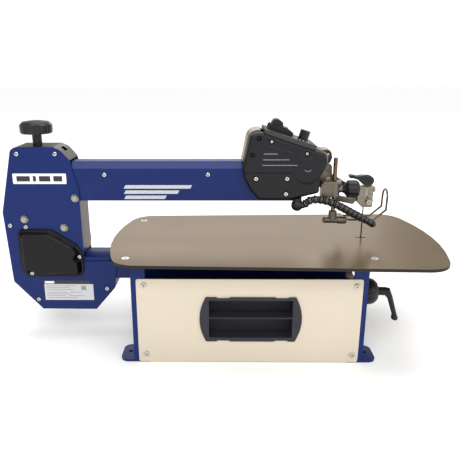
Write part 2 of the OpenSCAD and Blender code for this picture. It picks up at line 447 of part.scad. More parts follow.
module lower_rocker() color("#a79c8d") difference() {
  union() {
    xz(rounded([[UX - 2, LZ - 9, 0], [200, LZ - 7, 0], [232, LZ - 6, 5], [234, LZ, 4], [232, LZ + 6, 5], [200, LZ + 6, 0], [UX - 2, LZ + 8, 0]]), -5.8, 5.8);
    ycyl(11, -7.8, 7.8, UX, LZ);
    xz([[UX - 6, LZ], [UX + 6, LZ], [UX + 4, ZL], [UX - 4, ZL]], 3.2, 7.6);
    xz([[UX - 6, LZ], [UX + 6, LZ], [UX + 4, ZL], [UX - 4, ZL]], -7.6, -3.2);
    ycyl(4.3, 3.2, 7.6, UX, ZL); ycyl(4.3, -7.6, -3.2, UX, ZL);
    ycyl(2.6, -7, 7, UX, ZL);
  }
  ycyl(6.06, -20, 20, UX, LZ);
  difference() { ycyl(8, -3.2, 3.2, UX, ZL); ycyl(2.6, -4, 4, UX, ZL); }
  box(231.4, 240, -1, 1, 140, 190);
  xz(rounded([[CL[0] - 4.6, CL[1] - 3.4, 3.3], [CL[0] + 4.6, CL[1] - 3.4, 3.3], [CL[0] + 4.6, CL[1] + 3.4, 3.3], [CL[0] - 4.6, CL[1] + 3.4, 3.3]], 8), -10, 10);
}

// ---- blade and clamps ----
PL = [240, 332.5];   // pivot of the tension lever
module upper_blade_clamp() color("#b6ab9c") difference() {
  union() {
    xz(rounded([[225, 283, 2], [229, 279, 2], [249, 279, 3], [249, 297, 0], [225, 297, 0]]), -9, 9);
    for (s = [-11, 6.5]) xz(rounded([[218.5, 291, 4], [224, 283, 3], [234.5, 283, 0], [234.5, 317.5, 0], [222, 317.5, 2], [218, 312, 4]]), s, s + 4.5);
    box(240, 249, -9, 9, 296.9, 317.5);
    xz(rounded([[220.5, 317.2, 0], [220.5, 321, 1], [252, 321, 1], [253, 311, 1.5], [248.9, 311, 0], [248.9, 317.2, 0]]), -11, 11);
    for (z = [289, 303]) box(243, 250.2, -7, 7, z, z + 5);
    xz([[235, 320.9], [245, 320.9], [245, PL[1]], [235, PL[1]]], -3.9, 3.9);
    ycyl(5, -3.9, 3.9, PL[0], PL[1], 36);
    ycyl(1.95, -7.9, 7.9, PL[0], PL[1], 24);
    ycyl(3, -10.9, 10.9, CU[0], CU[1]);
  }
  box(blade_x - 2, blade_x + 2, -0.45, 0.45, 278, 298);
  ycyl(2.6, -20, -0.4, 240.5, 291, 24);
}
module upper_clamp_screw() color("#b6ab9c") difference() { union() { ycyl(2.5, -12, -0.9, 240.5, 291, 24); ycyl(5.5, -17, -9.2, 240.5, 291, 24); } box(238, 243, -18, -15.5, 290.4, 291.6); }
module lower_blade_clamp() color("#b6ab9c") difference() {
  union() {
    box(225, 245, -9, 9, 144, 154);
    for (s = [-1, 1]) mirror([0, s > 0 ? 0 : 1, 0]) xz(rounded([[219, 144, 3], [245, 144, 3], [245, 173, 4], [219, 173, 4]]), 6.5, 10.5);
    box(237.5, 245, -9, 9, 154, 173);
    ycyl(3, -10.5, 10.5, CL[0], CL[1]);
  }
  box(blade_x - 2, blade_x + 2, -0.45, 0.45, 147, 180);
  ycyl(2.6, -20, -0.4, 240.5, 150, 24);
}
module lower_clamp_screw() color("#b6ab9c") difference() { union() { ycyl(2.5, -12, -0.9, 240.5, 150, 24); ycyl(5.5, -18, -10.6, 240.5, 150, 24); } box(238, 243, -19, -16.5, 149.4, 150.6); }
module saw_blade() color("#55504a") union() {
  box(blade_x - blade_w / 2, blade_x + blade_w / 2 - 0.8, -blade_t / 2, blade_t / 2, 149, 296);
  for (z = [170:4:280]) xz([[blade_x + blade_w / 2 - 0.85, z], [blade_x + blade_w / 2, z], [blade_x + blade_w / 2 - 0.85, z + 2.6]], -blade_t / 2, blade_t / 2);
}
module tension_lever() color("#26262a") difference() {
  union() {
    xz(rounded([[201, 337.6, 1], [201.6, 343.2, 1.5], [207, 343.6, 1.5], [214, 341.2, 6], [226, 342.6, 8], [240, 342, 0], [240, 323.2, 0], [230, 323.4, 5], [217.5, 334.5, 6], [208, 337.4, 2]]), -8, 8);
    ycyl(9.4, -8, 8, PL[0], PL[1], 48);
  }
  box(230.5, 260, -4.05, 4.05, 300, 360);
  ycyl(2, -10, 10, PL[0], PL[1], 24);
}

// ---- hold-down ----
HX = 168; HY = -24;
module hold_down_block() color("#a79c8d") difference() {
  union() {
    translate([0, 0, 331]) linear_extrude(5) polygon(rrect(142, -35, 181, -13, 5));
    zcyl(10.5, 306, 332, HX, HY);
    box(142, 162, -33, -13, 304, 331.5);
    xcyl(7, 170, 183, HY, 320);
  }
  zcyl(4.1, 300, 340, HX, HY);
  xcyl(3.1, 172, 190, HY, 320);
}
module hold_down_rod() color("#a08a6c") zcyl(4, 264, 381, HX, HY);
module foot_holder() color("#7d756a") difference() {
  union() {
    zcyl(8, 258.5, 276, HX, HY);
    xcyl(6, 152.5, 196, HY, 257);
    xcyl(7.5, 178, 193, HY, 257);
    box(183, 194, -25, 20, 251, 259.4);
    xcyl(5.4, 149, 153.5, HY, 257, 6);
  }
  zcyl(4.05, 264, 280, HX, HY);
  for (s = [-1, 1]) xcyl(2.05, 186, 200, s * 16, 255.2, 24);
}
wg = [[190, 255.2], [252, 255.2], [275, 275.4], [275.6, 298]];
function lean(a, b) = 90 - atan2(b[1] - a[1], b[0] - a[0]);
module wire_seg(a, b, y) translate([a[0], y, a[1]]) rotate([0, lean(a, b), 0]) cylinder(r = 1.95, h = norm([b[0] - a[0], b[1] - a[1]]), $fn = 24);
module wire_guard() color("#a08a6c") union() {
  for (s = [-1, 1]) {
    for (i = [0:2]) wire_seg(wg[i], wg[i + 1], s * 16);
    for (i = [1:3]) translate([wg[i][0], s * 16, wg[i][1]]) sphere(r = 2.15, $fn = 24);
  }
  translate([wg[3][0], 0, wg[3][1]]) rotate([0, lean(wg[2], wg[3]), 0]) rotate([90, 0, 0]) rotate([0, 90, 0]) rotate_extrude(angle = 180, $fn = 48) translate([16, 0]) circle(r = 1.95, $fn = 24);
}
module hold_down_knob() color("#26262a") union() {
  translate([186, HY, 320]) rotate([0, 90, 0]) difference() {
    rotate_extrude($fn = 48) polygon([[0, -2], [7, -2], [9, 2], [hold_knob_r, 8], [hold_knob_r, 25], [hold_knob_r - 3, 29], [0, 30]]);
    for (a = [0:60:300]) rotate(a) translate([hold_knob_r + 7.5, 0, 1]) cylinder(r = 9, h = 40, $fn = 36);
  }
  xcyl(3, 173, 187, HY, 320, 24);
}

// ---- tilt controls ----
module tilt_knob() color("#26262a") difference() {
  union() {
    xcyl(5.95, base_hx - 5.6, 232, 0, LKZ);
    translate([230, 0, LKZ]) rotate([0, 90, 0]) rotate_extrude($fn = 72) polygon([[0, 0], [tilt_knob_r, 0], [tilt_knob_r, 30], [tilt_knob_r - 2, 38], [20, 45], [12, 48], [0, 48]]);
  }
  xcyl(4.1, 200, 290, 0, LKZ);
  for (a = [0:20:340]) translate([0, 0, LKZ]) rotate([a, 0, 0]) xcyl(1.6, 234, 256, 0, tilt_knob_r + 0.5, 16);
}
module tilt_lock_lever() color("#26262a") union() {
  xcyl(4, 207, 280, 0, LKZ);
  xcyl(9, 278.6, 296, 0, LKZ);
  hull() { xcyl(7.5, 292, 303, 0, LKZ, 28); translate([305, 0, LKZ - 12]) sphere(r = 6, $fn = 20); }
  hull() { translate([305, 0, LKZ - 12]) sphere(r = 6, $fn = 20); translate([318, 0, 42]) sphere(r = 5, $fn = 20); }
  hull() { translate([318, 0, 42]) sphere(r = 5, $fn = 20); translate([319, 0, 34]) sphere(r = 7, $fn = 20); translate([321, 0, 32]) sphere(r = 6, $fn = 20); }
}
module tension_knob() color("#26262a") difference() {
  union() {
    zcyl(9, 380, 428, -413, 0);
    translate([-413, 0, 426]) rotate_extrude($fn = 64) polygon([[0, 0], [tension_knob_r - 2, 0], [tension_knob_r, 3], [tension_knob_r, 16], [tension_knob_r - 6, 22], [tension_knob_r - 14, 23], [0, 23]]);
  }
  for (a = [0:45:315]) translate([-413, 0, 424]) rotate(a + 22.5) translate([tension_knob_r + 6, 0, 0]) cylinder(r = 8.5, h = 30, $fn = 36);
  zcyl(17, 446.5, 452, -413, 0);
}

// ---- air blower: the elbow turns on the nipple, and carries the hose ----
EX = 95; EY = -40;
module air_nipple() color("#232327") difference() {
  union() { zcyl(5, 296.8, 312, EX, EY, 36); zcyl(8, 301.2, 312, EX, EY, 36); }
  zcyl(2.8, 290, 320, EX, EY, 24);
  xz([[70, 299.45], [140, 316.95], [140, 330], [70, 330]], -60, -20);
}
module air_elbow() color("#232327") difference() {
  union() { translate([EX, EY, 291.5]) sphere(r = 11.6, $fn = 36); zcyl(8.6, 291, 301, EX, EY); }
  zcyl(5.06, 296.5, 303, EX, EY, 36);
  zcyl(20, 301, 306, EX, EY);
  xcyl(8.3, 100.2, 120, EY, 291.5);
}
// the hose's route, and its radius at each point
hose = [[100.5, -40, 291.5], [104.5, -40, 291.6], [109.7, -40.5, 293.9], [114.8, -41.6, 298.2], [122, -42.4, 301.8], [134, -42.6, 303], [149.9, -42.6, 300.4], [166.7, -42.4, 294.6], [182.3, -41, 286.7], [192.7, -39, 280.9], [203.2, -36.6, 274.8], [212.5, -33.8, 269.6], [221.9, -30.6, 264], [229, -28.6, 260.2], [235.1, -27.4, 257], [240.5, -26.8, 254.1], [244.6, -26.3, 251.6], [248.6, -25.9, 248.8], [252.4, -25.6, 245.6]];
hose_r = [for (i = [0:len(hose) - 1]) i < 2 ? 7.1 : (i < 3 ? 7.5 : (i > 17 ? 3.9 : (i > 16 ? 6.6 : (i > 15 ? 7.3 : 8))))];
function cross3(a, b) = [a[1] * b[2] - a[2] * b[1], a[2] * b[0] - a[0] * b[2], a[0] * b[1] - a[1] * b[0]];
function tang(p, i) = unit(p[min(i + 1, len(p) - 1)] - p[max(i - 1, 0)]);
HS = 12;   // sides of the hose
module air_hose() color("#232327") let (n = len(hose)) polyhedron(
  points = [for (i = [0:n - 1]) let (t = tang(hose, i), u = unit(cross3([0, 0, 1], t)), w = cross3(t, u)) for (j = [0:HS - 1])
    hose[i] + hose_r[i] * (cos(j * 360 / HS) * u + sin(j * 360 / HS) * w)],
  faces = concat([[for (j = [HS - 1:-1:0]) j]], [[for (j = [0:HS - 1]) (n - 1) * HS + j]],
    [for (i = [0:n - 2], j = [0:HS - 1], k = [0, 1]) let (a = i * HS + j, b = i * HS + (j + 1) % HS) k == 0 ? [a, b, b + HS] : [a, b + HS, a + HS]]));

front_end_frame();
rear_end_frame();
base_pan();
near_side_panel();
far_side_panel();
storage_tray();
base_screws();
front_trunnion_plate();
rear_trunnion_plate();
tilt_rack_sector();
table();
table_screws();
near_column_plate();
far_column_plate();
column_cover_band();
column_bolts();
frame_screws();
upper_arm();
lower_arm();
front_tilt_bracket();
rear_tilt_bracket();
crank_cover();
motor_housing();
motor_end_cap();
head_casting();
near_head_cover();
far_head_cover();
head_cover_band();
nose_guard();
control_box();
switch_housing();
hold_down_block();
air_elbow();
pivot_pins();
upper_push_rod();
lower_push_rod();
rear_rocker();
connecting_rod();
motor_rotor();
upper_rocker();
lower_rocker();
upper_blade_clamp();
lower_blade_clamp();
saw_blade();
upper_clamp_screw();
lower_clamp_screw();
tension_lever();
hold_down_rod();
foot_holder();
wire_guard();
hold_down_knob();
tilt_knob();
tilt_pinion();
tilt_lock_lever();
tension_knob();
speed_knob();
switch_paddle();
switch_key();
air_nipple();
air_hose();
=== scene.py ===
import math

import bmesh
import bpy
import numpy as np
from mathutils import Matrix, Vector
from mathutils.geometry import delaunay_2d_cdt


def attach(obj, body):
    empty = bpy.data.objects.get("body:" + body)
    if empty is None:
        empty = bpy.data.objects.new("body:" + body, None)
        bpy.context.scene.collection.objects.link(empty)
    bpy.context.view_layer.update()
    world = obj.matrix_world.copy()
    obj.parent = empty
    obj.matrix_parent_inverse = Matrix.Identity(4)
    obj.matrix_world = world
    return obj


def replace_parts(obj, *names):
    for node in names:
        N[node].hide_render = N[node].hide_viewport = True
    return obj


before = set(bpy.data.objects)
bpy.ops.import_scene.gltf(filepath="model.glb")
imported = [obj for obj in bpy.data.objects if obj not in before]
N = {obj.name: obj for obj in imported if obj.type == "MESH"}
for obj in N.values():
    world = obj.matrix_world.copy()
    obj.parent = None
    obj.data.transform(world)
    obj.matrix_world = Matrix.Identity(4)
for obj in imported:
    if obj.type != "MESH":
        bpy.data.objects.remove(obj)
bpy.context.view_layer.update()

scene = bpy.context.scene
MM = 0.001


# ------------------------------------------------------------------ materials
def srgb(h):
    c = [int(h[i:i + 2], 16) / 255 for i in (1, 3, 5)]
    return [x / 12.92 if x <= 0.04045 else ((x + 0.055) / 1.055) ** 2.4 for x in c] + [1.0]


def shade(c, k):
    return [min(1.0, x * k) for x in c[:3]] + [1.0]


MATS = {}


def material(name, base, rough=0.5, metal=0.0, spec=0.5, coat=0.0, coat_rough=0.15, var=0.05, var_scale=9.0,
             grain=0.0, grain_scale=900.0, grain_dist=0.00015, rough_var=0.06, stretch=None, peel=0.0, wear=0.0,
             wear_col="#c9c9cc", dust=0.0):
    """A painted, moulded or metal surface: slow colour variation, fine grain, orange peel and rubbed edges."""
    m = bpy.data.materials.new(name)
    m.use_nodes = True
    nt = m.node_tree
    nt.nodes.clear()
    nn = nt.nodes.new
    lk = nt.links.new
    out = nn("ShaderNodeOutputMaterial")
    b = nn("ShaderNodeBsdfPrincipled")
    lk(b.outputs[0], out.inputs[0])
    tc = nn("ShaderNodeTexCoord")
    vec = tc.outputs["Object"]
    mp = nn("ShaderNodeMapping")
    mp.inputs["Scale"].default_value = stretch or (1, 1, 1)
    lk(vec, mp.inputs["Vector"])
    # slow variation of colour
    n1 = nn("ShaderNodeTexNoise")
    n1.inputs["Scale"].default_value = var_scale
    n1.inputs["Detail"].default_value = 4
    n1.inputs["Roughness"].default_value = 0.6
    lk(vec, n1.inputs["Vector"])
    col = srgb(base)
    ramp = nn("ShaderNodeValToRGB")
    ramp.color_ramp.elements[0].position = 0.3
    ramp.color_ramp.elements[0].color = shade(col, 1 - var)
    ramp.color_ramp.elements[1].position = 0.72
    ramp.color_ramp.elements[1].color = shade(col, 1 + var)
    lk(n1.outputs["Fac"], ramp.inputs["Fac"])
    colour = ramp.outputs["Color"]
    # fine grain, stretched along the direction of brushing where there is one
    n2 = nn("ShaderNodeTexNoise")
    n2.inputs["Scale"].default_value = grain_scale
    n2.inputs["Detail"].default_value = 3
    lk(mp.outputs["Vector"], n2.inputs["Vector"])
    if grain > 0:
        mx = nn("ShaderNodeMix")
        mx.data_type = "RGBA"
        mx.blend_type = "MULTIPLY"
        gr = nn("ShaderNodeValToRGB")
        gr.color_ramp.elements[0].position = 0.35
        gr.color_ramp.elements[0].color = (1 - grain, 1 - grain, 1 - grain, 1)
        gr.color_ramp.elements[1].position = 0.65
        gr.color_ramp.elements[1].color = (1, 1, 1, 1)
        lk(n2.outputs["Fac"], gr.inputs["Fac"])
        mx.inputs["Factor"].default_value = 1.0
        lk(colour, mx.inputs["A"])
        lk(gr.outputs["Color"], mx.inputs["B"])
        colour = mx.outputs["Result"]
    if wear > 0:
        geo = nn("ShaderNodeNewGeometry")
        wr = nn("ShaderNodeValToRGB")
        wr.color_ramp.elements[0].position = 0.53
        wr.color_ramp.elements[0].color = (0, 0, 0, 1)
        wr.color_ramp.elements[1].position = 0.62
        wr.color_ramp.elements[1].color = (wear, wear, wear, 1)
        lk(geo.outputs["Pointiness"], wr.inputs["Fac"])
        mw = nn("ShaderNodeMix")
        mw.data_type = "RGBA"
        lk(wr.outputs["Color"], mw.inputs["Factor"])
        lk(colour, mw.inputs["A"])
        mw.inputs["B"].default_value = srgb(wear_col)
        colour = mw.outputs["Result"]
    lk(colour, b.inputs["Base Color"])
    # roughness
    mr = nn("ShaderNodeMapRange")
    mr.inputs["To Min"].default_value = max(0.02, rough - rough_var)
    mr.inputs["To Max"].default_value = min(1.0, rough + rough_var)
    lk(n2.outputs["Fac"], mr.inputs["Value"])
    lk(mr.outputs["Result"], b.inputs["Roughness"])
    b.inputs["Metallic"].default_value = metal
    b.inputs["Specular IOR Level"].default_value = spec
    b.inputs["Coat Weight"].default_value = coat
    b.inputs["Coat Roughness"].default_value = coat_rough
    # relief: grain and orange peel
    bp = nn("ShaderNodeBump")
    bp.inputs["Strength"].default_value = 0.35
    bp.inputs["Distance"].default_value = grain_dist
    lk(n2.outputs["Fac"], bp.inputs["Height"])
    last = bp
    if peel > 0:
        n3 = nn("ShaderNodeTexNoise")
        n3.inputs["Scale"].default_value = 260
        n3.inputs["Detail"].default_value = 1
        lk(vec, n3.inputs["Vector"])
        bp2 = nn("ShaderNodeBump")
        bp2.inputs["Strength"].default_value = peel
        bp2.inputs["Distance"].default_value = 0.0004
        lk(n3.outputs["Fac"], bp2.inputs["Height"])
        lk(bp.outputs["Normal"], bp2.inputs["Normal"])
        last = bp2
    lk(last.outputs["Normal"], b.inputs["Normal"])
    MATS[name] = m
    return m


BLUE = material("blue_paint_m", "#08215f", rough=0.38, coat=0.08, coat_rough=0.22, var=0.06, peel=0.12, grain_dist=0.00004, spec=0.2)
CREAM = material("cream_paint_m", "#d0c5b2", rough=0.42, coat=0.15, coat_rough=0.3, var=0.02, peel=0.1, grain_dist=0.00004, spec=0.35)
TRAY = material("tray_plastic_m", "#2c2c34", rough=0.55, var=0.06, grain=0.12, grain_scale=1800, grain_dist=0.0001, spec=0.3)
HEADP = material("head_plastic_m", "#101016", rough=0.44, var=0.07, grain=0.12, grain_scale=2200, grain_dist=0.00014, spec=0.32)
# ribs and small arc on the head covers: black plastic given a light grey colour, a painted highlight for the light
# their tops catch
RIB_HIGHLIGHT_M = material("rib_painted_highlight_m", "#7c7c80", rough=0.35, var=0.05, grain_dist=0.00003, spec=0.5)
LINEM = material("line_plastic_m", "#2f2f34", rough=0.35, var=0.05, grain_dist=0.00003, spec=0.5)
COVERP = material("cover_plastic_m", "#060609", rough=0.26, var=0.06, grain=0.1, grain_scale=2200, grain_dist=0.00006, spec=0.24)
BOXP = material("control_plastic_m", "#383735", rough=0.5, var=0.05, grain=0.1, grain_scale=2200, grain_dist=0.00012, spec=0.32)
BLACK = material("black_plastic_m", "#161618", rough=0.45, var=0.06, grain=0.1, grain_scale=2000, grain_dist=0.0001, spec=0.35)
SOFTB = material("black_knob_m", "#121215", rough=0.4, var=0.06, grain=0.1, grain_scale=1500, grain_dist=0.00008, spec=0.4)
HOSEM = material("hose_plastic_m", "#111113", rough=0.2, var=0.08, grain=0.06, grain_scale=1500, grain_dist=0.00004, spec=0.75, coat=0.25, coat_rough=0.1)
TABLE = material("table_steel_m", "#7a664b", rough=0.33, metal=0.6, var=0.06, var_scale=5, grain=0.1, grain_scale=420, stretch=(0.06, 1, 1), grain_dist=0.00003, rough_var=0.06, spec=0.4)
EDGE = material("table_edge_m", "#2e2a26", rough=0.45, metal=0.7, var=0.08, grain=0.15, grain_scale=800, grain_dist=0.00008)
BAND = material("band_steel_m", "#43382f", rough=0.38, metal=0.85, var=0.06, grain=0.08, grain_scale=500, stretch=(1, 0.08, 1), grain_dist=0.00003)
CAST = material("cast_m", "#756c61", rough=0.42, metal=0.85, var=0.1, var_scale=40, grain=0.2, grain_scale=900, grain_dist=0.0002)
ZINC = material("zinc_m", "#c9c8c4", rough=0.22, metal=1.0, var=0.06, var_scale=60, grain=0.05, grain_scale=1500, grain_dist=0.00003)
CLAMPM = material("clamp_m", "#8b8277", rough=0.34, metal=0.9, var=0.1, var_scale=40, grain=0.15, grain_scale=900, grain_dist=0.00015)
BOLTM = material("bolt_m", "#a19e92", rough=0.3, metal=0.9, var=0.08, var_scale=60, grain=0.1, grain_scale=1200, grain_dist=0.00006)
STEEL = material("steel_m", "#a09b93", rough=0.3, metal=1.0, var=0.06, grain=0.08, grain_scale=700, stretch=(1, 1, 0.1), grain_dist=0.00003)
GRAYP = material("gray_plate_m", "#6b6055", rough=0.42, metal=0.3, var=0.05, peel=0.1, grain_dist=0.00004)
REDP = material("red_plastic_m", "#b01512", rough=0.32, var=0.05, coat=0.2, grain_dist=0.00004)
BLADE = material("blade_m", "#3c3834", rough=0.35, metal=1.0, var=0.08, var_scale=80, grain=0.1, grain_scale=1500)
WIRE = material("wire_m", "#6a5a46", rough=0.26, metal=1.0, var=0.06, var_scale=60, grain=0.05, grain_scale=1500, grain_dist=0.00003)
TAN = material("tan_steel_m", "#90806c", rough=0.34, metal=0.9, var=0.06, grain=0.08, grain_scale=600, grain_dist=0.00004)
CAPM = material("knob_cap_m", "#33312f", rough=0.5, var=0.06, grain=0.1, grain_scale=1500, grain_dist=0.00008, spec=0.4)
WHITE = material("label_white_m", "#e9e8e6", rough=0.4, var=0.015, coat=0.2, grain_dist=0.00002)
PLATE = material("label_plate_m", "#c9c9cb", rough=0.38, metal=0.1, var=0.03, coat=0.2, grain_dist=0.00002)
SILVER = material("label_silver_m", "#b9bcc4", rough=0.28, metal=0.5, var=0.05, coat=0.2, grain_dist=0.00002)
INK = material("label_ink_m", "#17181d", rough=0.4, var=0.03, coat=0.2, grain_dist=0.00002)
LGRAY = material("label_gray_m", "#8e8f93", rough=0.4, var=0.03, coat=0.2, grain_dist=0.00002)

NODE_MAT = {
    "front_end_frame": BLUE, "rear_end_frame": BLUE, "base_pan": BLUE, "near_column_plate": BLUE, "far_column_plate": BLUE,
    "upper_arm": BLUE, "lower_arm": BLUE, "near_side_panel": CREAM, "far_side_panel": CREAM, "storage_tray": TRAY,
    "near_head_cover": HEADP, "far_head_cover": HEADP, "control_box": BOXP, "crank_cover": HEADP, "motor_housing": BLACK,
    "motor_end_cap": BLACK, "nose_guard": BLACK, "switch_housing": BLACK, "switch_paddle": BLACK, "air_elbow": SOFTB,
    "air_nipple": BLACK,
    "air_hose": SOFTB, "tension_lever": SOFTB, "hold_down_knob": SOFTB, "tilt_knob": SOFTB, "tilt_lock_lever": SOFTB,
    "tension_knob": SOFTB, "speed_knob": SOFTB, "table": TABLE, "column_cover_band": BAND, "head_cover_band": TAN,
    "head_casting": CAST, "rear_rocker": CAST, "connecting_rod": CAST, "upper_rocker": CAST, "lower_rocker": CAST,
    "hold_down_block": CAST, "foot_holder": CAST, "base_screws": ZINC, "table_screws": ZINC, "column_bolts": ZINC,
    "frame_screws": ZINC, "pivot_pins": ZINC, "upper_push_rod": STEEL, "lower_push_rod": STEEL, "motor_rotor": STEEL,
    "tilt_rack_sector": STEEL, "tilt_pinion": STEEL, "upper_blade_clamp": CLAMPM, "lower_blade_clamp": CAST,
    "upper_clamp_screw": STEEL, "lower_clamp_screw": STEEL, "front_trunnion_plate": GRAYP, "rear_trunnion_plate": GRAYP,
    "front_tilt_bracket": GRAYP, "rear_tilt_bracket": GRAYP, "switch_key": REDP, "saw_blade": BLADE, "wire_guard": WIRE,
    "hold_down_rod": WIRE,
}
# edge rounding shown on each CAD node, mm
ROUND = {"near_column_plate": 0.8, "far_column_plate": 0.8, "upper_arm": 1.2, "lower_arm": 1.0, "front_end_frame": 1.2,
         "rear_end_frame": 1.2, "near_side_panel": 0.6, "far_side_panel": 0.6, "storage_tray": 1.0, "table": 0.9,
         "near_head_cover": 1.2, "far_head_cover": 1.2, "crank_cover": 2.0, "control_box": 1.2, "motor_housing": 1.0,
         "motor_end_cap": 1.2, "nose_guard": 1.0, "switch_housing": 0.8, "switch_paddle": 0.8, "tension_lever": 0.9,
         "tilt_knob": 0.8, "tension_knob": 1.4, "hold_down_knob": 1.2, "head_casting": 0.8, "hold_down_block": 0.8,
         "upper_blade_clamp": 0.6, "upper_rocker": 0.9, "foot_holder": 0.5, "column_bolts": 0.4, "base_screws": 0.3,
         "frame_screws": 0.3, "front_trunnion_plate": 0.4, "rear_trunnion_plate": 0.4, "speed_knob": 0.5,
         "column_cover_band": 0.4, "head_cover_band": 0.4, "switch_key": 0.5}


def dress(node, mat, width):
    o = N[node]
    o.data.materials.clear()
    o.data.materials.append(mat)
    for p in o.data.polygons:
        p.use_smooth = True
    w = o.modifiers.new("weld", "WELD")
    w.merge_threshold = 0.00001
    if width:
        d = o.modifiers.new("planar", "DECIMATE")
        d.decimate_type = "DISSOLVE"
        d.angle_limit = math.radians(1.0)
        b = o.modifiers.new("round", "BEVEL")
        b.width = width * MM
        b.segments = 2
        b.limit_method = "ANGLE"
        b.angle_limit = math.radians(34)
        b.use_clamp_overlap = True
        b.miter_outer = "MITER_ARC"
    n = o.modifiers.new("normals", "WEIGHTED_NORMAL")
    n.keep_sharp = False
    n.weight = 60
    if not width:
        s = o.modifiers.new("split", "EDGE_SPLIT")
        s.split_angle = math.radians(32)
        o.modifiers.remove(n)


for node, mat in NODE_MAT.items():
    if node in N:
        dress(node, mat, ROUND.get(node, 0))


# ------------------------------------------------------------------ mesh helpers
def obj_from_bm(bm, name, mat, body, smooth=True):
    me = bpy.data.meshes.new(name)
    bm.normal_update()
    bm.to_mesh(me)
    bm.free()
    o = bpy.data.objects.new(name, me)
    scene.collection.objects.link(o)
    for m in (mat if isinstance(mat, (list, tuple)) else [mat]):
        me.materials.append(m)
    if smooth:
        for p in me.polygons:
            p.use_smooth = True
    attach(o, body)
    return o


def plate_xz(name, pts, y0, y1, mat, body, bevel=0.3, segs=2):
    """A flat piece: outline in X and Z (mm), from y0 to y1 (mm)."""
    bm = bmesh.new()
    a = [bm.verts.new((x * MM, y0 * MM, z * MM)) for x, z in pts]
    b = [bm.verts.new((x * MM, y1 * MM, z * MM)) for x, z in pts]
    bm.faces.new(a)
    bm.faces.new(list(reversed(b)))
    n = len(pts)
    for i in range(n):
        bm.faces.new((a[i], b[i], b[(i + 1) % n], a[(i + 1) % n]))
    bmesh.ops.recalc_face_normals(bm, faces=bm.faces)
    o = obj_from_bm(bm, name, mat, body)
    if bevel:
        m = o.modifiers.new("round", "BEVEL")
        m.width = bevel * MM
        m.segments = segs
        m.limit_method = "ANGLE"
        m.angle_limit = math.radians(40)
    w = o.modifiers.new("normals", "WEIGHTED_NORMAL")
    w.weight = 60
    return o


def rounded_rect(x0, z0, x1, z1, r, n=5):
    pts = []
    for cx, cz, a in ((x1 - r, z1 - r, 0), (x0 + r, z1 - r, 90), (x0 + r, z0 + r, 180), (x1 - r, z0 + r, 270)):
        for i in range(n + 1):
            t = math.radians(a + 90 * i / n)
            pts.append((cx + r * math.cos(t), cz + r * math.sin(t)))
    return pts

# ------------------------------------------------------------------ outlines
def fillet(a, b, c, r, n=6):
    a, b2, c = Vector(a[:2]), Vector(b[:2]), Vector(c[:2])
    u, w = (a - b2).normalized(), (c - b2).normalized()
    half = math.acos(max(-1, min(1, u.dot(w)))) / 2
    d = r / math.tan(half)
    o = b2 + (u + w).normalized() * (r / math.sin(half))
    s, e = b2 + u * d, b2 + w * d
    a0, a1 = math.atan2(s.y - o.y, s.x - o.x), math.atan2(e.y - o.y, e.x - o.x)
    da = a1 - a0
    da = da - 2 * math.pi if da > math.pi else (da + 2 * math.pi if da < -math.pi else da)
    return [(o.x + r * math.cos(a0 + da * i / n), o.y + r * math.sin(a0 + da * i / n)) for i in range(n + 1)]


def rounded(p, n=6):
    out = []
    for i, b in enumerate(p):
        if len(b) > 2 and b[2] > 0:
            out += fillet(p[i - 1], b, p[(i + 1) % len(p)], b[2], n)
        else:
            out.append((b[0], b[1]))
    return out


def densify(p, step):
    out = []
    for i in range(len(p)):
        a, b = Vector(p[i]), Vector(p[(i + 1) % len(p)])
        n = max(1, int(round((b - a).length / step)))
        out += [tuple(a.lerp(b, k / n)) for k in range(n)]
    return out


def ring_in(p, d):
    """Every point of a closed outline moved inwards by d (mm)."""
    area = sum(p[i][0] * p[(i + 1) % len(p)][1] - p[(i + 1) % len(p)][0] * p[i][1] for i in range(len(p)))
    sgn = 1 if area > 0 else -1
    out = []
    for i in range(len(p)):
        a, b, c = Vector(p[i - 1]), Vector(p[i]), Vector(p[(i + 1) % len(p)])
        t = ((b - a).normalized() + (c - b).normalized())
        t = t.normalized() if t.length > 1e-6 else (c - b).normalized()
        out.append((b.x - t.y * d * sgn, b.y + t.x * d * sgn))
    return out


def seg_dist(px, pz, pts, closed):
    """Distance of many points to a polyline."""
    best = np.full(px.shape, 1e9)
    m = len(pts)
    for i in range(m if closed else m - 1):
        ax, az = pts[i]
        bx, bz = pts[(i + 1) % m]
        dx, dz = bx - ax, bz - az
        q = dx * dx + dz * dz
        t = np.clip(((px - ax) * dx + (pz - az) * dz) / max(q, 1e-12), 0, 1)
        best = np.minimum(best, np.hypot(px - ax - t * dx, pz - az - t * dz))
    return best


def inside(px, pz, pts):
    r = np.zeros(px.shape, bool)
    m = len(pts)
    for i in range(m):
        ax, az = pts[i]
        bx, bz = pts[(i + 1) % m]
        if az == bz:
            continue
        hit = ((az > pz) != (bz > pz)) & (px < (bx - ax) * (pz - az) / (bz - az) + ax)
        r ^= hit
    return r


def sstep(t):
    t = np.clip(t, 0, 1)
    return t * t * (3 - 2 * t)


